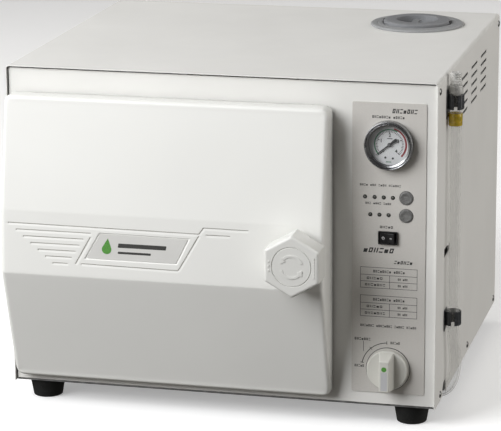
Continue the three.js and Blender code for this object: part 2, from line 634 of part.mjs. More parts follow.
function led({ x, z }) {
  const { tip } = LED;
  const base = BOARD.y0 - GAP;
  return turnY([
    [0, tip], [LED.r * 0.7, tip + 0.4], [LED.r, tip + 1.4], [LED.r, base - 1.2],
    [LED.flangeR, base - 1.2], [LED.flangeR, base], [0, base],
  ], x, z, 8);
}

function pushButton(z) {
  const { x, front, r, flangeR, stemR, stemEnd } = BUTTON;
  const flangeY = FRONT.y + SHEET + GAP;
  return turnY([
    [0, front], [r - 0.8, front], [r, front + 0.5], [r, flangeY], [flangeR, flangeY],
    [flangeR, flangeY + 1.2], [stemR, flangeY + 1.2], [stemR, stemEnd], [0, stemEnd],
  ], x, z);
}

function switchHousing() {
  const { x, z, width, height, bodyWidth, bodyHeight } = SWITCH;
  const flangeBack = FRONT.y - OVERLAY.thickness - 2 * GAP;
  const flange = box(x - width / 2, x + width / 2, -0.5, flangeBack, z - height / 2, z + height / 2);
  const body = box(x - bodyWidth / 2, x + bodyWidth / 2, 1, 20, z - bodyHeight / 2, z + bodyHeight / 2);
  const cavity = box(x - 9, x + 9, -2, 16, z - 5.7, z + 5.7);
  const tabs = [-5, 5].map((dx) => box(x + dx - 0.4, x + dx + 0.4, 19, 27, z - 2.4, z + 2.4));
  return join(cut(join(flange, body), cavity), ...tabs);
}

function rocker() {
  const { halfLength, halfHeight, pivotY, tilt } = ROCKER;
  const wing = -5.2;
  const shape = outline([
    [-halfLength, wing], [0, wing + 0.9], [halfLength, wing], [halfLength, wing + 3], [3, 3], [-3, 3],
    [-halfLength, wing + 3],
  ]);
  const geometry = new THREE.ExtrudeGeometry(shape, { depth: 2 * halfHeight, bevelEnabled: false });
  geometry.rotateZ(THREE.MathUtils.degToRad(-tilt));
  return solid(geometry.translate(SWITCH.x, pivotY, SWITCH.z - halfHeight));
}

piece('control_overlay', controlOverlay(), SILVER_FILM);
piece('control_board', controlBoard(), BOARD_GREEN);
ledPlaces().forEach((place, i) => piece(`indicator_lamp_${i + 1}`, led(place), LED_LENS));
piece('button_upper', pushButton(BUTTON.upperZ), GREY_PLASTIC);
piece('button_lower', pushButton(BUTTON.lowerZ), GREY_PLASTIC);
piece('switch_housing', switchHousing(), BLACK_PLASTIC);
piece('rocker', rocker(), BLACK_PLASTIC);

// ---------------------------------------------------------------- pressure gauge
const GAUGE_STUB = { end: 44, r: 5 };

function gaugeCase() {
  const { x, z, caseR, caseBack } = GAUGE;
  const bore = caseR - 1.2;
  const cup = turnY([
    [0, caseBack], [caseR, caseBack], [caseR, -2], [bore, -2], [bore, caseBack - 1.5], [0, caseBack - 1.5],
  ], x, z, 24);
  return join(cup, rodY(x, z, caseBack - 1, GAUGE_STUB.end, GAUGE_STUB.r, 12));
}

function gaugeBezel() {
  const { x, z, bezelR, bezelFront, lipR, lipBack, caseR } = GAUGE;
  const back = FRONT.y - OVERLAY.thickness - 2 * GAP;
  return turnY([
    [lipR, bezelFront + 0.6], [lipR + 1.2, bezelFront], [bezelR - 1.5, bezelFront],
    [bezelR, bezelFront + 1.6], [bezelR, back], [caseR + GAP, back], [caseR + GAP, lipBack],
    [lipR, lipBack], [lipR, bezelFront + 0.6],
  ], x, z, 32);
}

function gaugePointer() {
  const { y: y0, length, tail, thickness, zeroAngle } = POINTER;
  const needle = outline([
    [-0.8, 0], [-1.8, -tail + 2], [-1.1, -tail], [1.1, -tail], [1.8, -tail + 2], [0.8, 0],
    [0.4, length - 3], [0, length], [-0.4, length - 3],
  ]);
  const turned = prism(needle, 'xz', y0, y0 + thickness).rotate([0, zeroAngle, 0]);
  const hub = turnY([
    [0, y0 - 0.8], [1.8, y0 - 0.8], [2.2, y0 - 0.2], [2.2, y0 + 0.7], [0.9, y0 + 0.7], [0.9, 8], [0, 8],
  ], 0, 0, 12);
  return join(turned, hub).translate([GAUGE.x, 0, GAUGE.z]);
}

const dialPlate = cut(
  rodY(GAUGE.x, GAUGE.z, GAUGE.dialY, GAUGE.dialY + 0.8, GAUGE.dialR, 24),
  rodY(GAUGE.x, GAUGE.z, 0, 6, 1.4, 8),
);
piece('gauge_case', gaugeCase(), BLACK_PLASTIC);
piece('gauge_bezel', gaugeBezel(), CHROME);
piece('gauge_dial', dialPlate, DIAL_WHITE);
piece('gauge_pointer', gaugePointer(), BLACK_PLASTIC);
piece('gauge_lens', rodY(GAUGE.x, GAUGE.z, -4.5, -2.3, GAUGE.lensR, 24), CLEAR);

// ---------------------------------------------------------------- door
function hingeEars(extra = 0) {
  const { z0, z1, ear, earInset } = HINGE;
  const spans = [[z0 + earInset, z0 + earInset + ear], [z1 - earInset - ear, z1 - earInset]];
  return spans.map(([a, b]) => [a - extra, b + extra]);
}

function hingeBracket() {
  const plate = box(6, 44, 0.9, FRONT.y - GAP, HINGE.z0, HINGE.z1);
  const ears = hingeEars().flatMap(([a, b]) => [
    rodZ(PIN.x, PIN.y, a, b, PIN.knuckleR),
    box(PIN.x - PIN.knuckleR, PIN.x + PIN.knuckleR, PIN.y, 1.5, a, b),
  ]);
  return cut(join(plate, ...ears), rodZ(PIN.x, PIN.y, HINGE.z0 - 5, HINGE.z1 + 5, PIN.bore));
}

function hingePin() {
  const headZ = HINGE.z1 - HINGE.earInset + GAP;
  const low = HINGE.z0 - 1;
  return turnZ([
    [0, low], [PIN.r, low], [PIN.r, headZ], [PIN.headR, headZ], [PIN.headR, headZ + 2],
    [PIN.headR - 1.4, headZ + 3], [0, headZ + 3],
  ], PIN.x, PIN.y);
}

function doorBeam() {
  const [lower, upper] = hingeEars(0.5);
  const [a, b] = [lower[1], upper[0]];
  const knuckle = rodZ(PIN.x, PIN.y, a, b, PIN.knuckleR);
  const arm = box(PIN.x + 2, BEAM.x0 + 18, -32, PIN.y + 6, a, b);
  const bar = box(BEAM.x0, BEAM.x1, BEAM.y0, BEAM.y1, BEAM.z0, BEAM.z1);
  const lidBoss = rodY(AXIS.x, AXIS.z, BEAM.y1 - 1, LID.bossY - GAP, LID.bossR);
  const { xs, front, r } = COVER_BOSS;
  const coverBosses = xs.map((x) => rodY(x, AXIS.z, front, BEAM.y0 + 1, r, 16));
  return cut(
    join(bar, arm, knuckle, lidBoss, ...coverBosses),
    rodZ(PIN.x, PIN.y, a - 1, b + 1, PIN.bore),
    rodY(KNOB.x, KNOB.z, BEAM.y0 - 5, BEAM.y1 + 5, SPINDLE.r + 0.4),
  );
}

function doorLid() {
  const { r, back, front, bossR, bossY, stepR, step } = LID;
  return turnY([
    [0, bossY], [bossR, bossY], [bossR + 3, back - 2], [r - 8, back], [r, back + 3], [r, front],
    [stepR, front], [stepR - 2, front + step], [0, front + step],
  ], AXIS.x, AXIS.z, 36);
}

function doorGasket() {
  const { r0, r1, y0, y1 } = GASKET;
  return turnY([
    [r0, y0], [r1, y0], [r1, y1 - 1], [r1 - 1, y1], [r0 + 1, y1], [r0, y1 - 1], [r0, y0],
  ], AXIS.x, AXIS.z, 36);
}

// Side outline of the door cover, moved inwards by "inset" on its front, top and bottom.
function coverProfile(inset, back) {
  const { top, creaseHigh, creaseLow, bottom } = COVER_PROFILE;
  const [z0, z1] = [COVER.z0 + inset, COVER.z1 - inset];
  return outline([
    [back, z1], [top + inset + 5, z1], [top + inset + 1.5, z1 - 1.5], [top + inset, z1 - 5],
    [creaseHigh.y + inset, creaseHigh.z], [creaseLow.y + inset, creaseLow.z],
    [bottom + inset - 1.2, z0 + 5], [bottom + inset + 1.5, z0 + 1], [bottom + inset + 4, z0], [back, z0],
  ]);
}

function coverBlock(inset, back) {
  const [x0, x1] = [COVER.x0 + inset, COVER.x1 - inset];
  const front = roundedRect(x0, x1, COVER.z0 + inset, COVER.z1 - inset, COVER.corner - inset);
  const sides = prism(coverProfile(inset, back), 'yz', x0, x1);
  return prism(front, 'xz', -60, back).intersect(sides);
}

function doorCover() {
  const shell = cut(coverBlock(0, COVER.back), coverBlock(COVER.wall, COVER.back + 1));
  const hingeNotch = box(0, COVER.x0 + COVER.wall + 0.5, -36, 0, HINGE.z0 - 3, HINGE.z1 + 3);
  return cut(shell, hingeNotch, rodY(KNOB.x, KNOB.z, -60, -40, 9));
}

// Thin blank name plate lying on the sloping middle band of the cover.
function doorEmblem() {
  const { creaseHigh, creaseLow } = COVER_PROFILE;
  const slab = outline([
    [creaseHigh.y - GAP, creaseHigh.z], [creaseHigh.y - GAP - EMBLEM.thickness, creaseHigh.z],
    [creaseLow.y - GAP - EMBLEM.thickness, creaseLow.z], [creaseLow.y - GAP, creaseLow.z],
  ]);
  return prism(outline(EMBLEM.corners), 'xz', -60, -40).intersect(prism(slab, 'yz', 90, 230));
}

function lockKnob() {
  const { x, z, flats, back, front, bevel, grooveR } = KNOB;
  const corner = flats / Math.sqrt(3);
  const points = [0, 1, 2, 3, 4, 5].map((i) => {
    const angle = Math.PI / 2 + (i * Math.PI) / 3;
    return [(corner - bevel) * Math.cos(angle), (corner - bevel) * Math.sin(angle)];
  });
  const geometry = new THREE.ExtrudeGeometry(outline(points), {
    depth: back - front - 2 * bevel,
    bevelEnabled: true,
    bevelThickness: bevel,
    bevelSize: bevel * Math.cos(Math.PI / 6),
    bevelSegments: 2,
  });
  geometry.translate(0, 0, -(back - bevel)).applyMatrix4(new THREE.Matrix4().makeBasis(...AXES.xz));
  const body = solid(geometry.translate(x, 0, z));
  const groove = turnY([
    [grooveR, front - 1], [grooveR + 1, front - 1], [grooveR + 1, front + 0.8], [grooveR, front + 0.8],
    [grooveR, front - 1],
  ], x, z, 28);
  return cut(body, groove, rodY(x, z, SPINDLE.socket, back + 1, SPINDLE.r + GAP));
}

function lockSpindle() {
  const { r, tipR, tip, socket } = SPINDLE;
  return turnY([[0, socket + GAP], [r, socket + GAP], [r, tip - 3], [tipR, tip], [0, tip]], KNOB.x, KNOB.z);
}

function thrustWasher() {
  const disc = rodY(KNOB.x, KNOB.z, WASHER.y0, WASHER.y1, WASHER.r);
  return cut(disc, rodY(KNOB.x, KNOB.z, WASHER.y0 - 1, WASHER.y1 + 1, SPINDLE.r + 0.4));
}

function latchNut() {
  const { r, bore, flangeR, front, back } = NUT;
  const flangeY = FRONT.y + SHEET + GAP;
  return turnY([
    [bore, front], [r, front], [r, flangeY], [flangeR, flangeY], [flangeR, flangeY + 3], [r, flangeY + 3],
    [r, back], [bore, back], [bore, front],
  ], KNOB.x, KNOB.z);
}

piece('hinge_bracket', hingeBracket(), STEEL);
piece('hinge_pin', hingePin(), STEEL);
piece('latch_nut', latchNut(), STEEL);
piece('door_beam', doorBeam(), STEEL);
piece('door_lid', doorLid(), STEEL);
piece('door_gasket', doorGasket(), SILICONE);
piece('door_cover', doorCover(), DOOR_PLASTIC);
piece('door_emblem', doorEmblem(), SILVER_FILM);
piece('thrust_washer', thrustWasher(), STEEL);
piece('lock_knob', lockKnob(), DOOR_PLASTIC);
piece('lock_spindle', lockSpindle(), STEEL);

// ---------------------------------------------------------------- level and drain hose
// Straight down the side wall, then inwards through the notch at the foot of the wall.
const HOSE_ROUTE = [
  [HOSE.x, HOSE.y, HOSE.top], [HOSE.x, HOSE.y, 260], [HOSE.x, HOSE.y, 160], [HOSE.x, HOSE.y, 100],
  [HOSE.x, HOSE.y, 78], [HOSE.x + 0.8, HOSE.y + 3, 60], [HOSE.x + 1.8, HOSE.y + 8, 42],
  [HOSE.x + 1.4, HOSE.y + 8, 27], [HOSE.x - 1.2, HOSE.y + 4, 14.5], [HOSE.x - 6, HOSE.y + 1, 7],
  [476, HOSE.y, 3.4], [HOSE_PORT.end, HOSE.y, 3],
];

function hoseClip({ ring, plate }, extraCut) {
  const { x, y } = HOSE;
  const wall = CABINET.width + GAP;
  const half = CLIP.halfWidth;
  const backPlate = box(wall, wall + CLIP.plate, y - half, y + half, plate[0], plate[1]);
  const reach = 2 * CLIP.ringR;
  const outside = box(wall, x + reach, y - reach, y + reach, ring[0], ring[1]);
  const band = rodZ(x, y, ring[0], ring[1], CLIP.ringR, 24).intersect(outside);
  const web = box(wall + 1, x, y - CLIP.webHalf, y + CLIP.webHalf, ring[0], ring[1]);
  const [mouthX0, mouthX1] = CLIP.mouth;
  const mouth = box(x + mouthX0, x + mouthX1, y - reach, y, ring[0] - 1, ring[1] + 1);
  const tools = [rodZ(x, y, plate[0] - 5, plate[1] + 5, HOSE.r + CLIP.play, 24), mouth];
  if (extraCut) tools.push(extraCut);
  return cut(join(backPlate, band, web), ...tools);
}

function hosePlug() {
  const { spigotR, headR, boreR, z0, z1 } = PLUG;
  const seat = HOSE.top + GAP;
  const neck = headR - 1;
  const body = turnZ([
    [0, z0], [spigotR, z0], [spigotR, seat], [headR, seat], [headR, seat + 3], [neck, seat + 3.5],
    [neck, seat + 5], [headR, seat + 5.5], [headR, z1 - 1], [headR - 1, z1], [0, z1],
  ], HOSE.x, HOSE.y, 16);
  return cut(body, rodZ(HOSE.x, HOSE.y, z1 - 7, z1 + 1, boreR, 12));
}

const collarRing = cut(
  rodZ(HOSE.x, HOSE.y, COLLAR.z0, COLLAR.z1, COLLAR.r, 20),
  rodZ(HOSE.x, HOSE.y, COLLAR.z0 - 1, COLLAR.z1 + 1, HOSE.r + 0.25, 20),
);
const collarRoom = rodZ(HOSE.x, HOSE.y, COLLAR.z0 - 5, COLLAR.z1 + 0.5, COLLAR.r + 0.4);
piece('drain_hose', pipe(HOSE_ROUTE, HOSE.r, 44, HOSE.bore, 8), CLEAR);
piece('hose_clip_upper', hoseClip(CLIP_UPPER, collarRoom), DARK_PLASTIC);
piece('hose_clip_lower', hoseClip(CLIP_LOWER), DARK_PLASTIC);
piece('hose_collar', collarRing, AMBER);
piece('hose_plug', hosePlug(), CLEAR);

// ---------------------------------------------------------------- mains inlet
function powerInlet() {
  const { x0, z0, width, height, y0, flange } = INLET;
  const [x1, z1] = [x0 + width, z0 + height];
  const flangeY = REAR.y + SHEET + GAP;
  const body = join(
    box(x0, x1, y0, flangeY + 1, z0, z1),
    box(x0 - flange, x1 + flange, flangeY, flangeY + 2.5, z0 - flange, z1 + flange),
  );
  const { depth, low, high } = INLET_SOCKET;
  const floorY = flangeY - depth;
  const socket = box(x0 + 2, x1 - 2, floorY, flangeY + depth, z0 + low, z0 + high);
  const middle = (x0 + x1) / 2;
  const pins = INLET_PINS.places.map(([dx, dz]) => box(
    middle + dx - INLET_PINS.halfWidth, middle + dx + INLET_PINS.halfWidth,
    floorY - 1, floorY + INLET_PINS.length, z0 + dz - 1, z0 + dz + 1,
  ));
  const drawer = cut(
    box(x0 + 3, x1 - 3, flangeY + 2, flangeY + 3.5, z0 + 26, z1 - 3),
    box(middle - 5, middle + 5, flangeY + 1, flangeY + 5, z1 - 8, z1 - 6),
  );
  return join(cut(body, socket), ...pins, drawer);
}

piece('power_inlet', powerInlet(), BLACK_PLASTIC);

model.position.set(-ORIGIN.x, -ORIGIN.y, -ORIGIN.z);
const autoclave = new THREE.Group();
autoclave.add(model);

export default autoclave;
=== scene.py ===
from math import acos, asin, atan2, cos, degrees, hypot, pi, radians, sin, sqrt, tan

import bmesh
import bpy
import numpy as np
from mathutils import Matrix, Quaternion, Vector


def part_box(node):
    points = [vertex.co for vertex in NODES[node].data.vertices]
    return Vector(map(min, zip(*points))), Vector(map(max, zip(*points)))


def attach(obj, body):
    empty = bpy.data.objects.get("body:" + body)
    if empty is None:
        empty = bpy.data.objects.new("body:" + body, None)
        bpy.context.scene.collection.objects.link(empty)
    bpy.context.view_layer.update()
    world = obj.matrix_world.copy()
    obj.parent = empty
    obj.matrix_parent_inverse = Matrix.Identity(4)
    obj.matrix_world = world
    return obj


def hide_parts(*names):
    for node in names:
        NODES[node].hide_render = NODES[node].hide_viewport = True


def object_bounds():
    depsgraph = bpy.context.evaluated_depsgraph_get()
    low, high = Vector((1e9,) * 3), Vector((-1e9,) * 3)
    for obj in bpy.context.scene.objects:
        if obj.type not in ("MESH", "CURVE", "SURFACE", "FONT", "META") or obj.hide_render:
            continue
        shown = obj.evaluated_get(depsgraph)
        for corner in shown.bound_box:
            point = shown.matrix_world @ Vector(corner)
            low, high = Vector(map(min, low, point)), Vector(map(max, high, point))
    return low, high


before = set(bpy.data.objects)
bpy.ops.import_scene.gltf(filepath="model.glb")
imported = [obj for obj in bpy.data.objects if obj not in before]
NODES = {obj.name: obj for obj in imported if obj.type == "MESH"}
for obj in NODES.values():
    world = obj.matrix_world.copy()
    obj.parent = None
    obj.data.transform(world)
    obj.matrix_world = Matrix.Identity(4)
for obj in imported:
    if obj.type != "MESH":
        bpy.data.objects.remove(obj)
CAD_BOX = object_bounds()

# Every place below is in millimetres in the cabinet's own frame: x from its left edge,
# y back from its front rim, z up from its bottom. HOME is that corner in the row frame.
SCENE = bpy.context.scene
MM = 0.001
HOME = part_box("outer_cover")[0]


def span(node):
    """Lowest and highest corner of a CAD node, in the cabinet's millimetres."""
    low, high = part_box(node)
    return (low - HOME) / MM, (high - HOME) / MM


def middle(node):
    low, high = span(node)
    return (low + high) / 2


def half_width(node):
    low, high = span(node)
    return (high.x - low.x) / 2


def linked(name, data):
    obj = bpy.data.objects.new(name, data)
    SCENE.collection.objects.link(obj)
    return obj


# ---------------------------------------------------------------- camera
CAMERA = {"place": (926.6, -2592.0, 906.8), "azimuth": 14.098, "elevation": 14.661, "roll": -0.404}
LENS_MM = 183.17


def bearing(azimuth, elevation):
    """Way out from the object; in degrees, azimuth 0 in front and positive to the right."""
    a, e = radians(azimuth), radians(elevation)
    return Vector((sin(a) * cos(e), -cos(a) * cos(e), sin(e)))


def make_camera():
    data = bpy.data.cameras.new("camera")
    data.lens = LENS_MM
    data.sensor_width = 36
    data.clip_end = 50
    camera = linked("camera", data)
    camera.location = HOME + Vector(CAMERA["place"]) * MM
    camera.rotation_mode = "QUATERNION"
    back = bearing(CAMERA["azimuth"], CAMERA["elevation"])
    roll = Quaternion((0, 0, 1), radians(CAMERA["roll"]))
    camera.rotation_quaternion = (-back).to_track_quat("-Z", "Y") @ roll
    SCENE.camera = camera


make_camera()


# ---------------------------------------------------------------- materials
class Finish:
    """A Principled material whose colour, roughness and relief come from generated texture."""

    def __init__(self, name, colour, roughness, metallic=0.0, specular=0.5, **sockets):
        self.material = bpy.data.materials.new(name)
        self.material.use_nodes = True
        self.tree = self.material.node_tree
        self.shader = self.tree.nodes["Principled BSDF"]
        self.place = self.add("TexCoord").outputs["Object"]
        self.colour = self.bump = None
        self.base, self.roughness = colour, roughness
        self.set(self.shader, {
            "Base Color": (*colour, 1), "Roughness": roughness, "Metallic": metallic,
            "Specular IOR Level": specular,
        })
        self.set(self.shader, {socket.replace("_", " "): value for socket, value in sockets.items()})

    def set(self, node, sockets):
        """Links a socket to another node's output, or sets it to a value."""
        for key, value in sockets.items():
            if isinstance(value, bpy.types.NodeSocket):
                self.tree.links.new(value, node.inputs[key])
            else:
                node.inputs[key].default_value = value

    def add(self, kind, sockets=None, **settings):
        node = self.tree.nodes.new("ShaderNode" + kind)
        for setting, value in settings.items():
            setattr(node, setting, value)
        self.set(node, sockets or {})
        return node

    def stretched(self, scale):
        """Object coordinates drawn out along an axis, for brushed and drawn surfaces."""
        return self.add("Mapping", {"Scale": scale, "Vector": self.place}).outputs["Vector"]

    def around(self, centre):
        """Distance from an axis along Y through the centre, for turned surfaces."""
        shift = self.add("VectorMath", {0: self.place, 1: centre}, operation="SUBTRACT")
        split = self.add("SeparateXYZ", {0: shift.outputs[0]}).outputs
        flat = self.add("CombineXYZ", {"X": split["X"], "Z": split["Z"]})
        length = self.add("VectorMath", {0: flat.outputs[0]}, operation="LENGTH")
        return self.add("CombineXYZ", {"X": length.outputs["Value"]}).outputs[0]

    def noise(self, scale, detail=3.0, where=None):
        sockets = {"Scale": scale, "Detail": detail, "Vector": where or self.place}
        return self.add("TexNoise", sockets).outputs["Fac"]

    def spread(self, value, low, high, to_low, to_high):
        sockets = {"Value": value, "From Min": low, "From Max": high, "To Min": to_low, "To Max": to_high}
        return self.add("MapRange", sockets).outputs["Result"]

    def tint(self, share, colour):
        """Mixes a second colour over what is there, by a share from 0 to 1."""
        sockets = {0: share, 6: self.colour or (*self.base, 1), 7: (*colour, 1)}
        self.colour = self.add("Mix", sockets, data_type="RGBA").outputs[2]
        self.set(self.shader, {"Base Color": self.colour})
        return self

    def mottle(self, scale, amount, where=None):
        """Slow drift of the colour, darker by up to this amount."""
        darker = tuple(c * (1 - amount) for c in self.base)
        return self.tint(self.spread(self.noise(scale, where=where), 0.35, 0.65, 0, 1), darker)

    def speckle(self, scale, threshold, colour, softness=0.05):
        """Fine flecks of a second colour where the noise is high."""
        return self.tint(self.spread(self.noise(scale, 1.0), threshold, threshold + softness, 0, 1), colour)

    def gloss(self, scale, amount, where=None):
        """Patchy roughness either side of the base value."""
        low, high = self.roughness - amount, self.roughness + amount
        rough = self.spread(self.noise(scale, where=where), 0.3, 0.7, max(low, 0.02), min(high, 1))
        self.set(self.shader, {"Roughness": rough})
        return self

    def relief(self, scale, depth_mm, detail=2.0, where=None):
        """Bump of this depth, chained onto any bump already there."""
        sockets = {"Distance": depth_mm * MM, "Height": self.noise(scale, detail, where)}
        if self.bump:
            sockets["Normal"] = self.bump
        self.bump = self.add("Bump", sockets).outputs["Normal"]
        self.set(self.shader, {"Normal": self.bump})
        return self

    def edge_alpha(self, centre, rim):
        """Clear plastic: see-through face on, denser where the wall is seen edge on."""
        facing = self.add("LayerWeight", {"Blend": 0.35}).outputs["Facing"]
        self.set(self.shader, {"Alpha": self.spread(facing, 0, 0.8, centre, rim)})
        return self


def turned_metal(name, node, colour, roughness):
    """Metal with the fine circular marks of a lathe, centred on a node's axis."""
    low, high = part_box(node)
    metal = Finish(name, colour, roughness, 1.0)
    rings = metal.around((low + high) / 2)
    metal.relief(2600, 0.012, 3, rings).relief(240, 0.03, 2)
    return metal.gloss(900, 0.07, rings).mottle(60, 0.12).material


def brushed_metal(name, colour, roughness, grain):
    metal = Finish(name, colour, roughness, 1.0)
    where = metal.stretched(grain)
    return metal.mottle(1, 0.18, where).gloss(1, 0.09, where).relief(1, 0.01, 3, where).material


def ink(name, colour):
    """Screen-printed ink: a slightly patchy, slightly raised film."""
    return Finish(name, colour, 0.5).mottle(900, 0.25).gloss(700, 0.08).relief(3000, 0.01).material


def grey_plastic(name, colour, roughness, drift, fleck, bump, specular=0.4, gloss=(200, 0.06)):
    """Moulded grey plastic with paler flecks."""
    grey = Finish(name, colour, roughness, specular=specular).mottle(60, drift).speckle(1500, 0.60, fleck)
    if gloss:
        grey.gloss(*gloss)
    return grey.relief(1300, bump).material


PAINT = Finish("white_powder_coat", (0.80, 0.795, 0.77), 0.55, specular=0.4).mottle(9, 0.035)
PAINT = PAINT.gloss(35, 0.05).relief(420, 0.05).relief(1500, 0.012).material
PANEL = Finish("panel_powder_coat", (0.83, 0.825, 0.795), 0.4, Coat_Weight=0.15, Coat_Roughness=0.25)
PANEL = PANEL.mottle(9, 0.03).gloss(35, 0.05).relief(420, 0.045).relief(1500, 0.01).material
DOOR = Finish("door_plastic", (0.83, 0.83, 0.80), 0.36, specular=0.45).mottle(7, 0.03).gloss(28, 0.06)
DOOR = DOOR.relief(800, 0.014).relief(22, 0.12, 1).material
# A dark finish for the strips along the grooves' steep edges: painted shadow.
SHADOW_STRIP_PAINT = Finish("groove_shadow_paint", (0.36, 0.345, 0.31), 0.6).mottle(12, 0.35).relief(800, 0.02).material
KNOB_WHITE = Finish("knob_plastic", (0.64, 0.635, 0.59), 0.34).mottle(30, 0.04).gloss(60, 0.06)
KNOB_WHITE = KNOB_WHITE.relief(900, 0.02).material
LOCK_WHITE = Finish("lock_knob_plastic", (0.75, 0.75, 0.72), 0.33).mottle(25, 0.035).gloss(50, 0.06)
LOCK_WHITE = LOCK_WHITE.relief(900, 0.018).material
FILM = Finish("silver_film", (0.63, 0.61, 0.575), 0.5, 0.05, 0.35).mottle(14, 0.04)
FILM = FILM.speckle(2600, 0.56, (0.70, 0.68, 0.645)).speckle(3100, 0.60, (0.52, 0.505, 0.475))
FILM = FILM.gloss(600, 0.06).relief(2400, 0.02).material
EMBLEM = Finish("emblem_film", (0.70, 0.695, 0.67), 0.42, 0.05).speckle(2800, 0.56, (0.76, 0.755, 0.73))
EMBLEM = EMBLEM.mottle(20, 0.05).relief(2400, 0.015).material
GREY = grey_plastic("grey_moulded_plastic", (0.215, 0.22, 0.23), 0.55, 0.10, (0.29, 0.295, 0.30), 0.06)
# A much darker grey for the floor of the cap's recess: painted shade in the recess.
BOWL_SHADE_GREY = grey_plastic(
    "grey_plastic_painted_recess_shade", (0.11, 0.112, 0.118), 0.6, 0.10, (0.15, 0.152, 0.158), 0.05, 0.3, gloss=None,
)
FILLER_GREY = grey_plastic("grey_filler_plastic", (0.30, 0.305, 0.31), 0.5, 0.08, (0.38, 0.385, 0.39), 0.05)
KEYCAP = Finish("grey_key_plastic", (0.13, 0.13, 0.125), 0.48, specular=0.4)
KEYCAP = KEYCAP.speckle(1700, 0.54, (0.27, 0.27, 0.265)).speckle(2300, 0.60, (0.07, 0.07, 0.07))
KEYCAP = KEYCAP.relief(1900, 0.05).material
DARK = Finish("dark_clip_plastic", (0.06, 0.065, 0.072), 0.22).mottle(90, 0.3).gloss(150, 0.1)
DARK = DARK.relief(900, 0.03).material
BLACK = Finish("black_plastic", (0.012, 0.012, 0.013), 0.33).mottle(150, 0.3).gloss(200, 0.08)
BLACK = BLACK.relief(1400, 0.025).material
RUBBER = Finish("black_rubber", (0.014, 0.0145, 0.014), 0.72, specular=0.3).mottle(60, 0.3)
RUBBER = RUBBER.gloss(110, 0.1).relief(1200, 0.09).speckle(900, 0.66, (0.03, 0.03, 0.029)).material
SHEET_STEEL = brushed_metal("brushed_stainless", (0.56, 0.565, 0.57), 0.3, (25, 900, 900))
CHROME = Finish("satin_chrome", (0.33, 0.335, 0.345), 0.27, 1.0).gloss(60, 0.04).mottle(30, 0.06)
CHROME = CHROME.relief(120, 0.003).material
AMBER = Finish("amber_collar", (0.66, 0.42, 0.02), 0.24, Coat_Weight=0.4, Subsurface_Weight=0.2)
AMBER = AMBER.mottle(260, 0.35).gloss(300, 0.08).relief(800, 0.03).material
HOSE = Finish("clear_hose", (0.93, 0.93, 0.91), 0.18).edge_alpha(0.08, 0.42).mottle(12, 0.04)
HOSE = HOSE.relief(90, 0.004).material
CLEAR = Finish("clear_moulding", (0.78, 0.775, 0.75), 0.12, specular=0.7).edge_alpha(0.34, 0.9)
CLEAR = CLEAR.mottle(220, 0.2).relief(500, 0.04).material
GLASS = Finish("gauge_glass", (0.9, 0.92, 0.92), 0.03, specular=0.3).edge_alpha(0.02, 0.3)
GLASS = GLASS.relief(60, 0.01).material
WOOL = Finish("mineral_wool", (0.46, 0.38, 0.25), 0.95).mottle(180, 0.5).relief(420, 1.2, 6)
WOOL = WOOL.speckle(700, 0.58, (0.62, 0.55, 0.40)).material
PCB = Finish("circuit_board", (0.02, 0.13, 0.06), 0.4, Coat_Weight=0.5).mottle(120, 0.3)
PCB = PCB.speckle(500, 0.62, (0.35, 0.30, 0.12)).relief(700, 0.05).material
LED = Finish("lamp_lens", (0.10, 0.105, 0.09), 0.15, Coat_Weight=0.6).mottle(600, 0.3)
LED = LED.relief(1500, 0.02).material
INLAY = Finish("inlay_film", (0.54, 0.545, 0.56), 0.4, 0.1).speckle(2400, 0.56, (0.60, 0.605, 0.62)).material


def patchy(name, colour, roughness, mottle, gloss, relief, metallic=0.0, **sockets):
    """A finish that has one drift of colour, one of gloss and one relief."""
    finish = Finish(name, colour, roughness, metallic, **sockets)
    return finish.mottle(*mottle).gloss(*gloss).relief(*relief).material


GALVANISED = patchy("galvanised_sheet", (0.50, 0.51, 0.52), 0.42, (120, 0.3), (90, 0.12), (160, 0.03), 1.0)
SCREW_STEEL = patchy("screw_steel", (0.27, 0.27, 0.265), 0.24, (300, 0.25), (500, 0.1), (900, 0.02), 1.0)
BRASS = patchy("brass", (0.52, 0.36, 0.14), 0.32, (130, 0.3), (180, 0.1), (700, 0.02), 1.0)
COPPER = patchy("copper_pipe", (0.58, 0.28, 0.16), 0.3, (70, 0.35), (120, 0.1), (500, 0.015), 1.0)
SILICONE = patchy(
    "silicone_seal", (0.62, 0.58, 0.52), 0.5, (80, 0.08), (120, 0.08), (900, 0.03), Subsurface_Weight=0.1,
)
TANK = patchy(
    "tank_plastic", (0.60, 0.63, 0.62), 0.45, (30, 0.08), (60, 0.08), (300, 0.08), Subsurface_Weight=0.1,
)
DIAL = patchy("dial_enamel", (0.80, 0.81, 0.82), 0.35, (60, 0.05), (90, 0.05), (1200, 0.008))
GAUGE_WALL = patchy("gauge_case_paint", (0.13, 0.135, 0.14), 0.35, (90, 0.25), (150, 0.08), (700, 0.03))

INK_BLACK = ink("ink_black", (0.03, 0.03, 0.03))
INK_GREY = ink("ink_grey", (0.05, 0.05, 0.047))
INK_WHITE = ink("ink_white", (0.75, 0.75, 0.75))
INK_GREEN = ink("ink_green", (0.10, 0.33, 0.055))
INK_PALE = ink("ink_pale", (0.24, 0.24, 0.235))
INK_DIAL_GREEN = ink("ink_dial_green", (0.03, 0.20, 0.09))
INK_RED = ink("ink_red", (0.30, 0.012, 0.02))


# ---------------------------------------------------------------- outlines and skins
# A skin is a list of points in cabinet millimetres and a list of faces.
def circle(u, v, r, sides=64):
    return [(u + r * cos(2 * pi * k / sides), v + r * sin(2 * pi * k / sides)) for k in range(sides)]


def arc(u, v, r, first, last, steps):
    """Points along an arc; angles in degrees, anticlockwise from +U."""
    angles = [radians(first + (last - first) * k / steps) for k in range(steps + 1)]
    return [(u + r * cos(a), v + r * sin(a)) for a in angles]


def rectangle(u0, u1, v0, v1):
    return [(u0, v0), (u1, v0), (u1, v1), (u0, v1)]


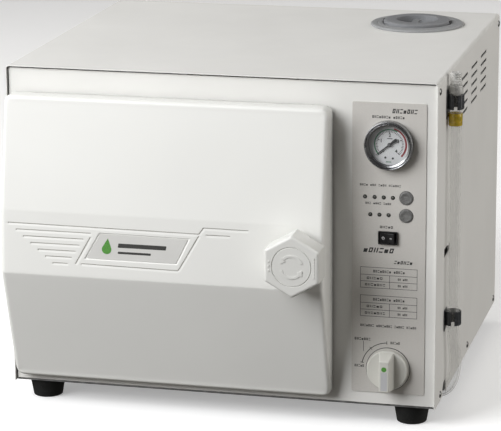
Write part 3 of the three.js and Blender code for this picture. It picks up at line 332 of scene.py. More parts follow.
def soften(points, radius=0.0, closed=True, steps=4):
    """An outline with rounded corners. A point's third number is a radius of its own."""
    out = []
    for i, point in enumerate(points):
        r = point[2] if len(point) > 2 else radius
        here = Vector(point[:2])
        if r <= 0 or (not closed and i in (0, len(points) - 1)):
            out.append(tuple(here))
            continue
        a = (Vector(points[i - 1][:2]) - here).normalized()
        b = (Vector(points[(i + 1) % len(points)][:2]) - here).normalized()
        half = a.angle(b) / 2
        centre = here + (a + b).normalized() * (r / sin(half))
        start, end = here + a * (r / tan(half)) - centre, here + b * (r / tan(half)) - centre
        first = atan2(start.y, start.x)
        turn = (atan2(end.y, end.x) - first + pi) % (2 * pi) - pi
        for k in range(steps + 1):
            angle = first + turn * k / steps
            out.append((centre.x + r * cos(angle), centre.y + r * sin(angle)))
    return out


def slit(u0, u1, v, half):
    """A slot with rounded ends."""
    return soften(rectangle(u0, u1, v - half, v + half), half * 0.9)


def together(*skins):
    points, faces = [], []
    for more_points, more_faces in skins:
        start = len(points)
        points += more_points
        faces += [tuple(start + i for i in face) for face in more_faces]
    return points, faces


def strip_faces(count):
    """Faces of a strip whose points come in pairs."""
    return [(2 * k, 2 * k + 1, 2 * k + 3, 2 * k + 2) for k in range(count)]


def loft(rings, loop=False, caps=False):
    """A skin through rings of equal length; loop joins the last ring to the first."""
    count = len(rings[0])
    points = [point for ring in rings for point in ring]
    faces = []
    for j in range(len(rings) if loop else len(rings) - 1):
        a, b = j * count, (j + 1) % len(rings) * count
        faces += [(a + i, a + (i + 1) % count, b + (i + 1) % count, b + i) for i in range(count)]
    if caps:
        last = len(points) - count
        faces.append(tuple(reversed(range(count))))
        faces.append(tuple(range(last, last + count)))
    return points, faces


# How a drawing's (u, v) and its distance w along an axis become x, y and z.
PLACED = {
    "x": lambda u, v, w: (w, u, v),
    "y": lambda u, v, w: (u, w, v),
    "z": lambda u, v, w: (u, v, w),
}


def turned(profile, centre, axis="y", sides=96, loop=False):
    """A lathe skin. Profile points are (radius, distance along the axis)."""
    return loft([
        [PLACED[axis](u, v, t) for u, v in circle(*centre, max(r, 0.0), sides)] for r, t in profile
    ], loop)


def flat(outlines, thickness=0.0, edge=0.0, bevel_steps=1):
    """Points (u, v, w) and faces of a flat plate: the first outline, with the others cut out."""
    curve = bpy.data.curves.new("flat", "CURVE")
    curve.dimensions = "2D"
    curve.fill_mode = "BOTH"
    curve.extrude = max(thickness / 2 - edge, 0)
    curve.bevel_depth = edge
    curve.bevel_resolution = bevel_steps
    curve.offset = -edge
    for outline in outlines:
        spline = curve.splines.new("POLY")
        spline.points.add(len(outline) - 1)
        for point, (u, v) in zip(spline.points, outline):
            point.co = (u, v, 0, 1)
        spline.use_cyclic_u = True
    return curve_skin(curve)


def curve_skin(curve):
    """The points and faces that a curve fills, once it is no longer needed."""
    holder = bpy.data.objects.new("holder", curve)
    mesh = holder.to_mesh()
    skin = [tuple(v.co) for v in mesh.vertices], [tuple(p.vertices) for p in mesh.polygons]
    holder.to_mesh_clear()
    bpy.data.objects.remove(holder)
    bpy.data.curves.remove(curve)
    return skin


def plate(outlines, near, far, edge=0.0, bevel_steps=1, axis="y"):
    """A plate between two places on an axis."""
    points, faces = flat(outlines, far - near, edge, bevel_steps)
    centre, side = (near + far) / 2, -1 if axis == "y" else 1
    return [PLACED[axis](u, v, centre + side * w) for u, v, w in points], faces


def finish_mesh(obj, closed, sharp):
    mesh = obj.data
    bm = bmesh.new()
    bm.from_mesh(mesh)
    bmesh.ops.remove_doubles(bm, verts=bm.verts, dist=2e-6)
    if closed:
        bmesh.ops.recalc_face_normals(bm, faces=bm.faces)
    bm.to_mesh(mesh)
    bm.free()
    for polygon in mesh.polygons:
        polygon.use_smooth = True
    mesh.set_sharp_from_angle(angle=radians(sharp))


def keep_flat(obj):
    """Shades large faces flat, so that only the small faces at their edges turn the light."""
    flats = obj.modifiers.new("flats", "WEIGHTED_NORMAL")
    flats.weight = 100
    flats.keep_sharp = True


def piece(name, skin, material, body="cabinet", replaces=(), closed=True, sharp=38, slot=None):
    """Makes a skin into an object that rides on a body and may stand for CAD nodes."""
    points, faces = skin
    mesh = bpy.data.meshes.new(name)
    mesh.from_pydata([HOME + Vector(p) * MM for p in points], [], faces)
    mesh.materials.append(material)
    obj = linked(name, mesh)
    finish_mesh(obj, closed, sharp)
    if closed:
        keep_flat(obj)
    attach(obj, body)
    if replaces:
        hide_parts(*replaces)
    return obj


def across(at, axis):
    """A place's two coordinates across an axis."""
    return (at.x, at.z) if axis == "y" else (at.x, at.y)


def lathe(name, at, profile, material, *where, axis="y", sides=96, loop=False, slot=None):
    """A softened profile turned about an axis through a place; where is a body and its nodes."""
    skin = turned(soften(profile, closed=loop), across(at, axis), axis, sides, loop)
    return piece(name, skin, material, *where, slot=slot)


def thicken(obj, thickness):
    """Gives an open skin a wall on its inner side."""
    wall = obj.modifiers.new("wall", "SOLIDIFY")
    wall.thickness = thickness * MM
    wall.offset = -1
    wall.use_even_offset = True


def bevel(obj, width, segments=2, angle=35):
    """Rounds the sharp edges of an object and keeps its flats flat."""
    edges = obj.modifiers.new("edges", "BEVEL")
    edges.width = width * MM
    edges.segments = segments
    edges.limit_method = "ANGLE"
    edges.angle_limit = radians(angle)
    edges.harden_normals = True


def dress(material, **edges):
    """CAD nodes that stay: their points are welded by a modifier, their edges rounded."""
    for node, edge in edges.items():
        obj = NODES[node]
        obj.data.materials.clear()
        obj.data.materials.append(material)
        obj.modifiers.new("weld", "WELD").merge_threshold = 1e-6
        for polygon in obj.data.polygons:
            polygon.use_smooth = True
        if edge > 0:
            bevel(obj, edge, 2, 32)
            keep_flat(obj)


# ---------------------------------------------------------------- cabinet
SHEET = 1.0
EDGE_R = 4.0
WIDTH, DEPTH, HEIGHT = span("outer_cover")[1]
VENT = {"length": 41.5, "height": 3.3, "columns": (152, 219, 286.5), "top": 335.4, "pitch": 9.98, "rows": 5}
SCREWS = [(12, 351), (420, 351), (33, 8), (216, 9), (414, 8)]
SCREW_PROFILE = [(0, 1.35), (0.9, 1.55), (2.2, 1.4), (3.2, 1.0), (3.85, 0.4), (4, 0)]
LAMPS = [f"indicator_lamp_{i}" for i in range(1, 8)]
KEYS = {"button_upper": "upper_key", "button_lower": "lower_key"}
REAR_VENT = {"x0": 360, "x1": 440, "low": 41.5, "height": 3, "pitch": 10, "rows": 8, "valve_hole": 8}
INLET_FLANGE = 3.7
HOSE_NOTCH = (60, 4.6, 11)
SIDE_SLOT = (50, 84, 158.5, 168)
HAIR = 0.04


def vent_slots():
    """Rows of side slots, each a hair off its neighbours so that no three corners lie on one line."""
    slots = []
    for column, y in enumerate(VENT["columns"]):
        for row in range(VENT["rows"]):
            y0 = y + row * HAIR
            z = VENT["top"] - row * VENT["pitch"] - column * HAIR
            slots.append(slit(y0, y0 + VENT["length"], z, VENT["height"] / 2))
    return slots


def side_outline(top):
    """The right side, with the hose's notch in its lower edge."""
    y, z, r = HOSE_NOTCH
    dip = degrees(asin(z / r))
    notch = [(u, max(v, 0)) for u, v in arc(y, z, r, 180 + dip, -dip, 28)]
    return [(0, 0), *notch, (DEPTH, 0), (DEPTH, top), (0, top)]


def hood():
    """One bent sheet: two sides and a top, joined by rounded bends."""
    bend, steps = HEIGHT - EDGE_R, 8
    filler_hole = circle(*across(middle("reservoir_cap"), "z"), 43)
    right, right_faces = flat([side_outline(bend), soften(rectangle(*SIDE_SLOT), 0.6), *vent_slots()])
    left, left_faces = flat([rectangle(0, bend, 0, DEPTH)])
    top, top_faces = flat([rectangle(EDGE_R, WIDTH - EDGE_R, 0, DEPTH), filler_hole])
    skins = [
        ([(WIDTH, u, v) for u, v, _ in right], right_faces),
        ([(0, v, u) for u, v, _ in left], left_faces),
        ([(u, v, HEIGHT) for u, v, _ in top], top_faces),
    ]
    for centre_x, first in ((WIDTH - EDGE_R, 0), (EDGE_R, 90)):
        rows = arc(centre_x, bend, EDGE_R, first, first + 90, steps)
        skins.append(([(x, y, z) for x, z in rows for y in (0, DEPTH)], strip_faces(steps)))
    cover = piece("hood", together(*skins), PAINT, replaces=["outer_cover"], closed=False, sharp=30)
    thicken(cover, SHEET)
    bevel(cover, 0.4, 2, 50)


def screw_head(axis, along, u, v):
    """Domed head with a black cross on top, painted shade standing for its cross recess, on a side face (x)
    or the back face (y).
    """
    head = turned([(r, along + t) for r, t in SCREW_PROFILE], (u, v), axis, 32)
    crosses = rectangle(u - 1.7, u + 1.7, v - 0.4, v + 0.4), rectangle(u - 0.4, u + 0.4, v - 1.7, v + 1.7)
    return head, together(*(plate([cross], along + 1.2, along + 1.62, 0.05, axis=axis) for cross in crosses))


def screws():
    places = [("x", WIDTH, y, z) for y, z in SCREWS]
    places += [("y", DEPTH - 5.4, x, z) for z in (14, HEIGHT - 12) for x in (14, WIDTH / 2, WIDTH - 14)]
    heads, recess_shades = zip(*(screw_head(*place) for place in places))
    piece("case_screws", together(*heads), SCREW_STEEL, slot="stainless")
    # Black crosses on the heads: painted shade for the cross recesses.
    piece("case_screw_recess_shade", together(*recess_shades), BLACK, slot="black_plastic")


def through_holes():
    """Openings that the front panel and its film share."""
    bores = [(name, 2.1, 24) for name in LAMPS] + [(name, 7.8, 48) for name in KEYS]
    holes = [circle(*across(middle(name), "y"), r, sides) for name, r, sides in bores]
    switch = middle("switch_housing")
    holes.append(rectangle(switch.x - 9.9, switch.x + 9.9, switch.z - 6.7, switch.z + 6.7))
    for name, r, sides in (("gauge_bezel", 24.5, 64), ("valve_knob", 5.4, 24)):
        holes.append(circle(*across(middle(name), "y"), r, sides))
    return holes


def end_sheet(low, high, right):
    """Outline of a front or rear sheet, its top corners rounded to fit the hood."""
    return soften([(low.x, low.z), (right, low.z), (right, high.z, 1.4), (low.x, high.z, 1.4)])


def front_panel():
    low, high = span("front_panel")
    holes = through_holes()
    holes.append(circle(*across(middle("chamber"), "y"), 131, 128))
    holes.append(circle(*across(middle("latch_nut"), "y"), 12.4, 48))
    outlines = [end_sheet(low, high, WIDTH - SHEET - 0.12), *holes]
    piece("front_sheet", plate(outlines, low.y, high.y, 0.3), PANEL, replaces=["front_panel"])


def rear_panel():
    low, high = span("rear_panel")
    inlet_lo, inlet_hi = span("power_inlet")
    rim = INLET_FLANGE
    outlines = [
        end_sheet(low, high, high.x),
        circle(*across(middle("safety_valve"), "y"), REAR_VENT["valve_hole"], 48),
        rectangle(inlet_lo.x + rim, inlet_hi.x - rim, inlet_lo.z + rim, inlet_hi.z - rim),
    ]
    for row in range(REAR_VENT["rows"]):
        z = REAR_VENT["low"] + row * REAR_VENT["pitch"]
        outlines.append(slit(REAR_VENT["x0"], REAR_VENT["x1"], z, REAR_VENT["height"] / 2))
    piece("rear_sheet", plate(outlines, low.y, high.y, 0.25), PAINT, replaces=["rear_panel"], sharp=30)


def vent_screen():
    """A dark sheet just inside the side vents: painted shade behind the slots."""
    y0, y1 = VENT["columns"][0] - 6, VENT["columns"][-1] + VENT["length"] + 6
    z0, z1 = VENT["top"] - (VENT["rows"] - 1) * VENT["pitch"] - 6, VENT["top"] + 6
    inner = WIDTH - SHEET - 0.3
    shade_sheet = plate([soften(rectangle(y0, y1, z0, z1), 2)], inner - 0.4, inner, 0.1, axis="x")
    piece("vent_screen", shade_sheet, BLACK, slot="black_plastic")


def feet():
    for name in ("foot_front_left", "foot_front_right", "foot_rear_left", "foot_rear_right"):
        low, high = span(name)
        r = half_width(name)
        profile = [
            (0, low.z), (r - 6, low.z), (r - 4.6, low.z + 0.6), (r - 3.6, low.z), (r - 3.5, low.z + 1),
            (r - 0.6, high.z - 4), (r, high.z - 2.2), (r - 0.2, high.z - 0.6), (r - 1, high.z), (0, high.z),
        ]
        profile = [(a, b, 0.5) for a, b in profile]
        lathe(f"rubber_{name}", middle(name), profile, RUBBER, "cabinet", [name], axis="z")


hood()
screws()
front_panel()
feet()
rear_panel()
vent_screen()
dress(GALVANISED, base_pan=0.3)
dress(BLACK, power_inlet=0.4)


# ---------------------------------------------------------------- door cover
COVER_LO, COVER_HI = span("door_cover")
COVER_CORNER = 9.0
COVER_EDGE = 4.6
COVER_WALL = 2.8
# Front of the cover from bottom to top: (height, depth), with soft creases between the flats.
COVER_FRONT = [(16, -12), (141, -50), (211, -45), (329.5, -25)]
CREASE_BLEND = 1.2
GROOVE = {"wall": 0.5, "ramp": 2.6, "depth": 0.5, "end": 0.4}
# Size of the dark strips of painted shadow in the grooves, and of the painted shade hook at their left ends.
GROOVE_SHADOW_STRIP = {"width": 0.55, "proud": 0.04, "depth": 0.6, "hook": 1.5}
PLATE = [(118.6, 190.3), (218.8, 189.6), (205.1, 161.8), (102.6, 162.0)]
PLATE_RECESS = 0.85


def groove_lines():
    """Engraved lines on the middle band, as (x, z) to (x, z)."""
    lines = [
        ((14, 197.5), (229.7, 196.4)), ((229.7, 196.4), (234.6, 203.4)), ((234.6, 203.4), (284.5, 203.2)),
        ((238, 196.0), (264.2, 196.0)), ((107.7, 186), (90.6, 155.3)),
        ((97.5, 156.3), (206.8, 155)), ((206.8, 155), (229.2, 194)),
    ]
    lines.append(((23, 190.5), (108.7, 190.5)))
    for row in range(1, 6):
        z = 190.5 - 6.98 * row
        lines.append(((23 + 8.4 * row, z), (104.5 - 4.4 * row, z)))
    return lines


def smooth_step(t):
    t = np.clip(t, 0, 1)
    return t * t * (3 - 2 * t)


def lower_right(ux, uz):
    """The side of a line, across its direction, that faces down and to the right."""
    return (uz, -ux) if 0.35 * uz + 0.94 * ux > 0 else (-uz, ux)


def groove(x, z, line):
    """Depth of one groove: a steep wall on its upper left, a ramp back up on its lower right."""
    (x0, z0), (x1, z1) = line
    length = hypot(x1 - x0, z1 - z0)
    ux, uz = (x1 - x0) / length, (z1 - z0) / length
    nx, nz = lower_right(ux, uz)
    along = (x - x0) * ux + (z - z0) * uz
    off = (x - x0) * nx + (z - z0) * nz
    section = smooth_step(off / GROOVE["wall"]) * np.clip(1 - (off - GROOVE["wall"]) / GROOVE["ramp"], 0, 1)
    end = GROOVE["end"]
    return GROOVE["depth"] * section * smooth_step(along / end + 1) * smooth_step((length - along) / end + 1)


def cover_depth(z):
    heights, depths = zip(*COVER_FRONT)
    spread = np.linspace(-CREASE_BLEND, CREASE_BLEND, 11)
    return np.mean([np.interp(z + s, heights, depths) for s in spread], axis=0)


def carved(x, z):
    """How far the surface is cut back by the grooves and by the name plate's pocket."""
    depth = np.zeros_like(x)
    for line in groove_lines():
        depth = np.maximum(depth, groove(x, z, line))
    inside = np.full_like(x, 1e3)
    for i, (x0, z0) in enumerate(PLATE):
        x1, z1 = PLATE[(i + 1) % len(PLATE)]
        length = hypot(x1 - x0, z1 - z0)
        inside = np.minimum(inside, ((x - x0) * (z1 - z0) - (z - z0) * (x1 - x0)) / length)
    return np.maximum(depth, PLATE_RECESS * smooth_step((inside + 0.9) / 0.7))


def grid_lines(low, high, fine_low, fine_high, fine_step):
    """Positions across the cover: close together at the rounded edges and in the carved part."""
    rim = [0, 0.15, 0.5, 1.0, 1.7, 2.5, 3.5, COVER_EDGE, 6.5, COVER_CORNER]
    start, end = low + COVER_CORNER, high - COVER_CORNER
    coarse = 5.0
    lines = [low + d for d in rim]
    lines += list(np.arange(start + coarse, fine_low - 1, coarse))
    lines += list(np.arange(max(fine_low, start + 1), fine_high, fine_step))
    lines += list(np.arange(fine_high, end - 1, coarse))
    lines += [high - d for d in reversed(rim)]
    return np.array(sorted(lines))


def round_corner(a, b):
    """Maps a square corner to a quarter circle; a and b are offsets past the arc's centre."""
    reach = np.maximum(a, b)
    share = np.minimum(a, b) / np.maximum(reach, 1e-9)
    angle = np.where(a >= b, share * pi / 4, pi / 2 - share * pi / 4)
    inside = (a > 0) & (b > 0)
    return np.where(inside, reach * np.cos(angle), a), np.where(inside, reach * np.sin(angle), b)


def cover_grid():
    xs = grid_lines(COVER_LO.x, COVER_HI.x, 12, 288, 0.8)
    zs = grid_lines(COVER_LO.z, COVER_HI.z, 148, 208, 0.4)
    bends = [z for z, _ in COVER_FRONT[1:3]]
    creases = [z + s for z in bends for s in (-1.2, -0.6, 0, 0.6, 1.2)]
    zs = np.array(sorted([*(z for z in zs if min(abs(z - c) for c in bends) > 1.4), *creases]))
    x, z = np.meshgrid(xs, zs)
    rim = np.minimum.reduce([x - xs[0], xs[-1] - x, z - zs[0], zs[-1] - z])
    y = cover_depth(z) + COVER_EDGE - np.sqrt(COVER_EDGE**2 - np.clip(COVER_EDGE - rim, 0, None) ** 2)
    y = y + carved(x, z)
    cx, cz = (xs[0] + xs[-1]) / 2, (zs[0] + zs[-1]) / 2
    half_x, half_z = (xs[-1] - xs[0]) / 2 - COVER_CORNER, (zs[-1] - zs[0]) / 2 - COVER_CORNER
    a, b = round_corner(np.abs(x - cx) - half_x, np.abs(z - cz) - half_z)
    return cx + np.sign(x - cx) * (half_x + a), y, cz + np.sign(z - cz) * (half_z + b)


def door_cover():
    x, y, z = cover_grid()
    rows, columns = x.shape
    back = COVER_HI.y
    hinge_lo, hinge_hi = span("hinge_bracket")
    knob = middle("lock_knob")
    points = [tuple(p) for p in np.stack([x, y, z], -1).reshape(-1, 3)]
    faces = []
    for j in range(rows - 1):
        for i in range(columns - 1):
            a = j * columns + i
            if hypot(x[j, i] - knob.x, z[j, i] - knob.z) > 9:
                faces.append((a, a + 1, a + columns + 1, a + columns))
    ring = list(range(columns))
    ring += [j * columns + columns - 1 for j in range(1, rows)]
    ring += [(rows - 1) * columns + i for i in range(columns - 2, -1, -1)]
    ring += [j * columns for j in range(rows - 2, 0, -1)]
    levels = [ring]
    for share in (0.28, 0.65, 1.0):
        start = len(points)
        points += [(points[i][0], points[i][1] * (1 - share) + back * share, points[i][2]) for i in ring]
        levels.append(list(range(start, start + len(ring))))
    for level, (upper, lower) in enumerate(zip(levels, levels[1:])):
        for k in range(len(ring)):
            n = (k + 1) % len(ring)
            px, _, pz = points[upper[k]]
            in_notch = px < COVER_LO.x + 1 and hinge_lo.z - 3 < pz < hinge_hi.z + 3
            if level == 0 or not in_notch:
                faces.append((upper[n], upper[k], lower[k], lower[n]))
    cover = piece("door_shell", (points, faces), DOOR, "door", ["door_cover"], closed=False, sharp=60)
    thicken(cover, COVER_WALL)


def emblem():
    """Blank name plate with a plain drop and two bars, lying in the cover's pocket."""
    centre = Vector((sum(p[0] for p in PLATE) / 4, sum(p[1] for p in PLATE) / 4))
    outline = [tuple(centre + (Vector(p) - centre) * 0.985) for p in PLATE]

    def on_band(skin):
        points, faces = skin
        return [(x, float(cover_depth(np.array(z))) + PLATE_RECESS + y, z) for x, y, z in points], faces

    blank = on_band(plate([soften(outline, 1.2)], -0.5, 0, 0.12))
    piece("emblem_plate", blank, EMBLEM, "door", ["door_emblem"], sharp=12)
    x, z, r = 126.5, 173.5, 5.4
    drop = on_band(plate([[*arc(x, z, r, 160, 380, 22), (x + 1.5, z + 12.0)]], -0.62, -0.48))
    piece("emblem_drop", drop, INK_GREEN, "door", slot="silver_film")
    bars = []
    for x0, x1, z0, z1 in ((139, 193, 176.0, 180.6), (139, 176, 169.2, 171.6)):
        lean = (z1 - z0) * 0.2
        bar = soften([(x0, z0), (x1, z0), (x1 + lean, z1), (x0 + lean, z1)], 0.6)
        bars.append(plate([bar], -0.62, -0.48))
    piece("emblem_bars", on_band(together(*bars)), INK_GREY, "door", slot="silver_film")


def groove_seams():
    """A dark strip of painted shadow along the steep edge of every groove, set just below the surface."""
    bars = []
    for (x0, z0), (x1, z1) in groove_lines():
        along = Vector((x1 - x0, z1 - z0)).normalized()
        side = Vector((along.y, -along.x))
        if 0.35 * side.x - 0.94 * side.y < 0:
            side = -side
        side *= GROOVE_SHADOW_STRIP["width"]
        a, b = Vector((x0, z0)), Vector((x1, z1))
        outline = [tuple(a), tuple(b), tuple(b + side), tuple(a + side)]
        # At the left ends the strip turns down in a hook of painted shade for the groove's end wall.
        if x0 < 80:
            low = z0 - GROOVE_SHADOW_STRIP["hook"]
            outline = [(x0, z0), *outline[1:3], (x0 + 0.8, z0 - GROOVE_SHADOW_STRIP["width"]), (x0 + 0.5, low), (x0, low)]
        bars.append(plate([outline], GROOVE_SHADOW_STRIP["proud"], GROOVE_SHADOW_STRIP["depth"]))
    points, faces = together(*bars)
    lying = [(x, y + float(cover_depth(np.array(z))), z) for x, y, z in points]
    piece("door_groove_painted_shadows", (lying, faces), SHADOW_STRIP_PAINT, "door", slot="door_plastic")


door_cover()
groove_seams()
emblem()


# ---------------------------------------------------------------- lock knob
KNOB_SIDES = 360
KNOB_SINK = 0.6
KNOB_FACE = [
    (22.0, 0), (21.9, 0), (21.75, 0.1), (21.6, 0.9), (21.0, 0.9), (20.85, 0.1), (20.7, 0), (20.5, 0), (0, 0),
]


def hexagon_radius(angle, flats, corner):
    """Distance from the centre to a rounded hexagon that has a corner at the top."""
    half = flats / 2
    off = radians(abs((degrees(angle) + 30) % 60 - 30))
    if half * tan(off) < (half - corner) * tan(pi / 6):
        return half / cos(off)
    reach = (half - corner) / cos(pi / 6)
    lean = pi / 6 - off
    return reach * cos(lean) + sqrt(max(corner**2 - (reach * sin(lean)) ** 2, 0))


def lock_knob():
    low, high = span("lock_knob")
    centre = (low + high) / 2
    flats = high.x - low.x
    face = low.y + KNOB_SINK
    edge = 3.0
    angles = [2 * pi * k / KNOB_SIDES for k in range(KNOB_SIDES)]
    rings = []

    def ring(radius, y):
        rings.append([(centre.x + radius(a) * cos(a), y, centre.z + radius(a) * sin(a)) for a in angles])

    def hexagonal(inset, y):
        ring(lambda a: hexagon_radius(a, flats - 2 * inset, 2.4), y)

    def round_ring(r, y):
        ring(lambda a: r, y)

    round_ring(0, face + 12)
    round_ring(7, face + 12)
    round_ring(7, high.y)
    hexagonal(1.0, high.y)
    hexagonal(0.3, high.y - 0.3)
    hexagonal(0, high.y - 1)
    for k in range(6):
        a = radians(18 * k)
        hexagonal(edge * (1 - cos(a)), face + edge * (1 - sin(a)))
    hexagonal(edge + 0.3, face)
    for r, y in KNOB_FACE:
        round_ring(r, face + y)
    piece("hex_knob", loft(rings), LOCK_WHITE, "lock_screw", ["lock_knob"], sharp=30)


def ring_sector(centre, r0, r1, first, last, y0, y1, edge=0.15):
    """Part of a flat ring facing the front; angles in degrees, anticlockwise from +X."""
    steps = max(int(abs(last - first) / 5), 4)
    outline = arc(centre.x, centre.z, r1, first, last, steps)
    outline += arc(centre.x, centre.z, r0, last, first, steps)
    return plate([outline], y0, y1, edge)


def knob_marks():
    """Plain raised turning arrows, grip dots and dashes on the knob's face."""
    centre = middle("lock_knob")
    y1 = span("lock_knob")[0].y + KNOB_SINK + 0.4
    y0 = y1 - 0.95
    marks = []
    for first in (200, 20):
        marks.append(ring_sector(centre, 10.6, 13.2, first, first + 118, y0, y1))
        corners = ((15.4, first + 118), (12.2, first + 146), (8.4, first + 118))
        head = [(centre.x + r * cos(radians(a)), centre.z + r * sin(radians(a))) for r, a in corners]
        marks.append(plate([soften(head, 0.4)], y0, y1, 0.12))
    dot = soften([(0, y0), (1.1, y0, 0.4), (1.1, y1)], closed=False)
    marks += [turned(dot, (centre.x - 24.6, centre.z + 5 * k), sides=20) for k in range(-1, 2)]
    for k in range(-3, 4):
        z = centre.z + 3.4 * k
        dash = soften(rectangle(centre.x + 23.9, centre.x + 24.9, z - 1.1, z + 1.1), 0.3)
        marks.append(plate([dash], y0, y1, 0.1))
    piece("knob_marks", together(*marks), LOCK_WHITE, "lock_screw", slot="knob_plastic")


lock_knob()
knob_marks()


# ---------------------------------------------------------------- door inner parts and chamber
CHAMBER_STEEL = turned_metal("turned_stainless", "chamber", (0.60, 0.605, 0.61), 0.26)


def chamber():
    axis = middle("chamber")
    low, high = span("chamber")
    front = low.y
    r, wall, flange_r, flange = 116, 2, 130, 10
    depth, end = 28, high.y - 2

    def dish(radius, reach):
        steps = 16
        return [
            (radius * cos(pi / 2 * k / steps), end - depth + reach * sin(pi / 2 * k / steps))
            for k in range(steps + 1)
        ]

    outside = soften([
        (r, front + 4), (r, front, 1.2), (flange_r, front, 1.5), (flange_r, front + flange, 1),
        (r + wall, front + flange),
    ], closed=False)
    inner = [(max(a, 0), b) for a, b in reversed(dish(r, depth))]
    outer = [(max(a, 0), b) for a, b in dish(r + wall, depth + wall)]
    shell = turned([*inner, *outside, *outer], (axis.x, axis.z), sides=160)
    stubs = []
    for y, side in ((310, 1), (40, -1)):
        base, tip = axis.z + side * (r + wall - 1), axis.z + side * (r + wall + 12)
        profile = soften([(9, base), (9, tip, 0.6), (5, tip, 0.6), (5, base)], closed=False)
        stubs.append(turned(profile, (axis.x, y), "z", 32, loop=True))
    piece("chamber_shell", together(shell, *stubs), CHAMBER_STEEL, replaces=["chamber"])


def door_lid():
    low, _ = span("door_lid")
    r = half_width("door_lid")
    profile = [
        (0, low.y), (16, low.y, 1), (19, -16, 3), (r - 8, -14, 2), (r, -11, 2), (r, -6, 0.8),
        (r - 11.5, -6, 0.5), (r - 13.5, -3, 1.2), (60, -3), (58, -3.8, 1), (50, -3.8, 1), (48, -3), (0, -3),
    ]
    lathe("lid_disc", middle("door_lid"), profile, CHAMBER_STEEL, "door", ["door_lid"], sides=144)


def door_gasket():
    low, high = span("door_gasket")
    r1 = half_width("door_gasket")
    r0, lip = r1 - 10, r1 - 5
    profile = [
        (r0, low.y, 0.3), (r1, low.y, 0.3), (r1, high.y - 0.6, 0.8), (lip + 1.6, high.y, 0.8),
        (lip, high.y - 1, 0.4), (lip - 1.6, high.y, 0.8), (r0, high.y - 0.6, 0.8),
    ]
    at = middle("door_gasket")
    lathe("seal_ring", at, profile, SILICONE, "door", ["door_gasket"], sides=144, loop=True)


chamber()
door_lid()
door_gasket()
dress(SHEET_STEEL, door_beam=1.0, hinge_bracket=0.6, latch_nut=0.5, thrust_washer=0.2, lock_spindle=0.5)
dress(SHEET_STEEL, tray_rack=0.4, tray_lower=0.4, tray_upper=0.4, heater_band=0.4)
dress(SCREW_STEEL, hinge_pin=0.4)
dress(WOOL, insulation_jacket=1.5)
dress(BRASS, safety_valve=0.6, valve_body=1.0, solenoid_valve=1.0)
dress(TANK, water_reservoir=2.0)
dress(DARK, power_supply=1.0)
dress(PCB, control_board=0.2)
dress(HOSE, fill_pipe=0)
dress(COPPER, chamber_pipe=0, gauge_pipe=0)


# ---------------------------------------------------------------- control panel
FILM_LO, FILM_HI = span("control_overlay")
PRINT = FILM_LO.y - 0.04


def overlay():
    outlines = [soften(rectangle(FILM_LO.x, FILM_HI.x, FILM_LO.z, FILM_HI.z), 2), *through_holes()]
    piece("panel_film", plate(outlines, FILM_LO.y, FILM_HI.y, 0.1), FILM, replaces=["control_overlay"])


def printed(outlines):
    return plate(outlines, PRINT, FILM_LO.y + 0.1)


def stroke(x0, z0, x1, z1, width):
    """A printed line as a thin four-cornered bar."""
    along = Vector((x1 - x0, z1 - z0)).normalized() * width / 2
    side = Vector((-along.y, along.x))
    a, b = Vector((x0, z0)) - along, Vector((x1, z1)) + along
    return printed([[tuple(a - side), tuple(b - side), tuple(b + side), tuple(a + side)]])


def word(x0, x1, z, height, count, lean=0.0, seed=0):
    """A caption without letters: a row of plain blocks, frames and pairs of bars."""
    pitch = (x1 - x0) / count
    width = pitch * 0.74
    line = min(height * 0.26, width * 0.38)
    prints = []
    for k in range(count):
        left, right = x0 + k * pitch, x0 + k * pitch + width
        low, high = z - height / 2, z + height / 2
        kind = (k * 5 + seed * 3) % 4
        if kind == 0:
            hole = rectangle(left + line, right - line, low + line, high - line)
            shapes = [rectangle(left, right, low, high), hole]
        elif kind == 1:
            shapes = [rectangle(left, left + line, low, high), rectangle(right - line, right, low, high)]
        elif kind == 2:
            shapes = [rectangle(left, right, low, low + line), rectangle(left, right, high - line, high)]
        else:
            shapes = [rectangle(left, right, low, z + line)]
        prints.append(printed([[(u + lean * (v - z), v) for u, v in shape] for shape in shapes]))
    return together(*prints)


def caption(x0, x1, z, height, words):
    """A line of such words; each number is the count of blocks in a word."""
    pitch = (x1 - x0) / (sum(words) + len(words) - 1)
    prints, x = [], x0
    for i, count in enumerate(words):
        prints.append(word(x, x + count * pitch, z, height, count, seed=i))
        x += (count + 1) * pitch
    return prints


def table(x0, x1, z0, z1, divider):
    """Programme table: a title row over two rows of two cells."""
    row = (z1 - z0) * 0.32
    lines = [z0, z0 + row, z0 + 2 * row, z1]
    prints = [stroke(x0, z, x1, z, 0.45) for z in lines]
    prints += [stroke(x, z0, x, z1, 0.45) for x in (x0, x1)]
    prints.append(stroke(divider, z0, divider, lines[2], 0.45))
    return prints, [
        *caption(x0 + 14, x1 - 13, (lines[2] + z1) / 2, 2.9, (8, 5)),
        *caption(x0 + 7, divider - 7, (lines[1] + lines[2]) / 2, 2.6, (5,)),
        *caption(x0 + 5, divider - 4, (lines[0] + lines[1]) / 2, 2.6, (7,)),
        *caption(divider + 9, x1 - 10, (lines[1] + lines[2]) / 2, 2.4, (2, 3)),
        *caption(divider + 9, x1 - 10, (lines[0] + lines[1]) / 2, 2.4, (2, 3)),
    ]


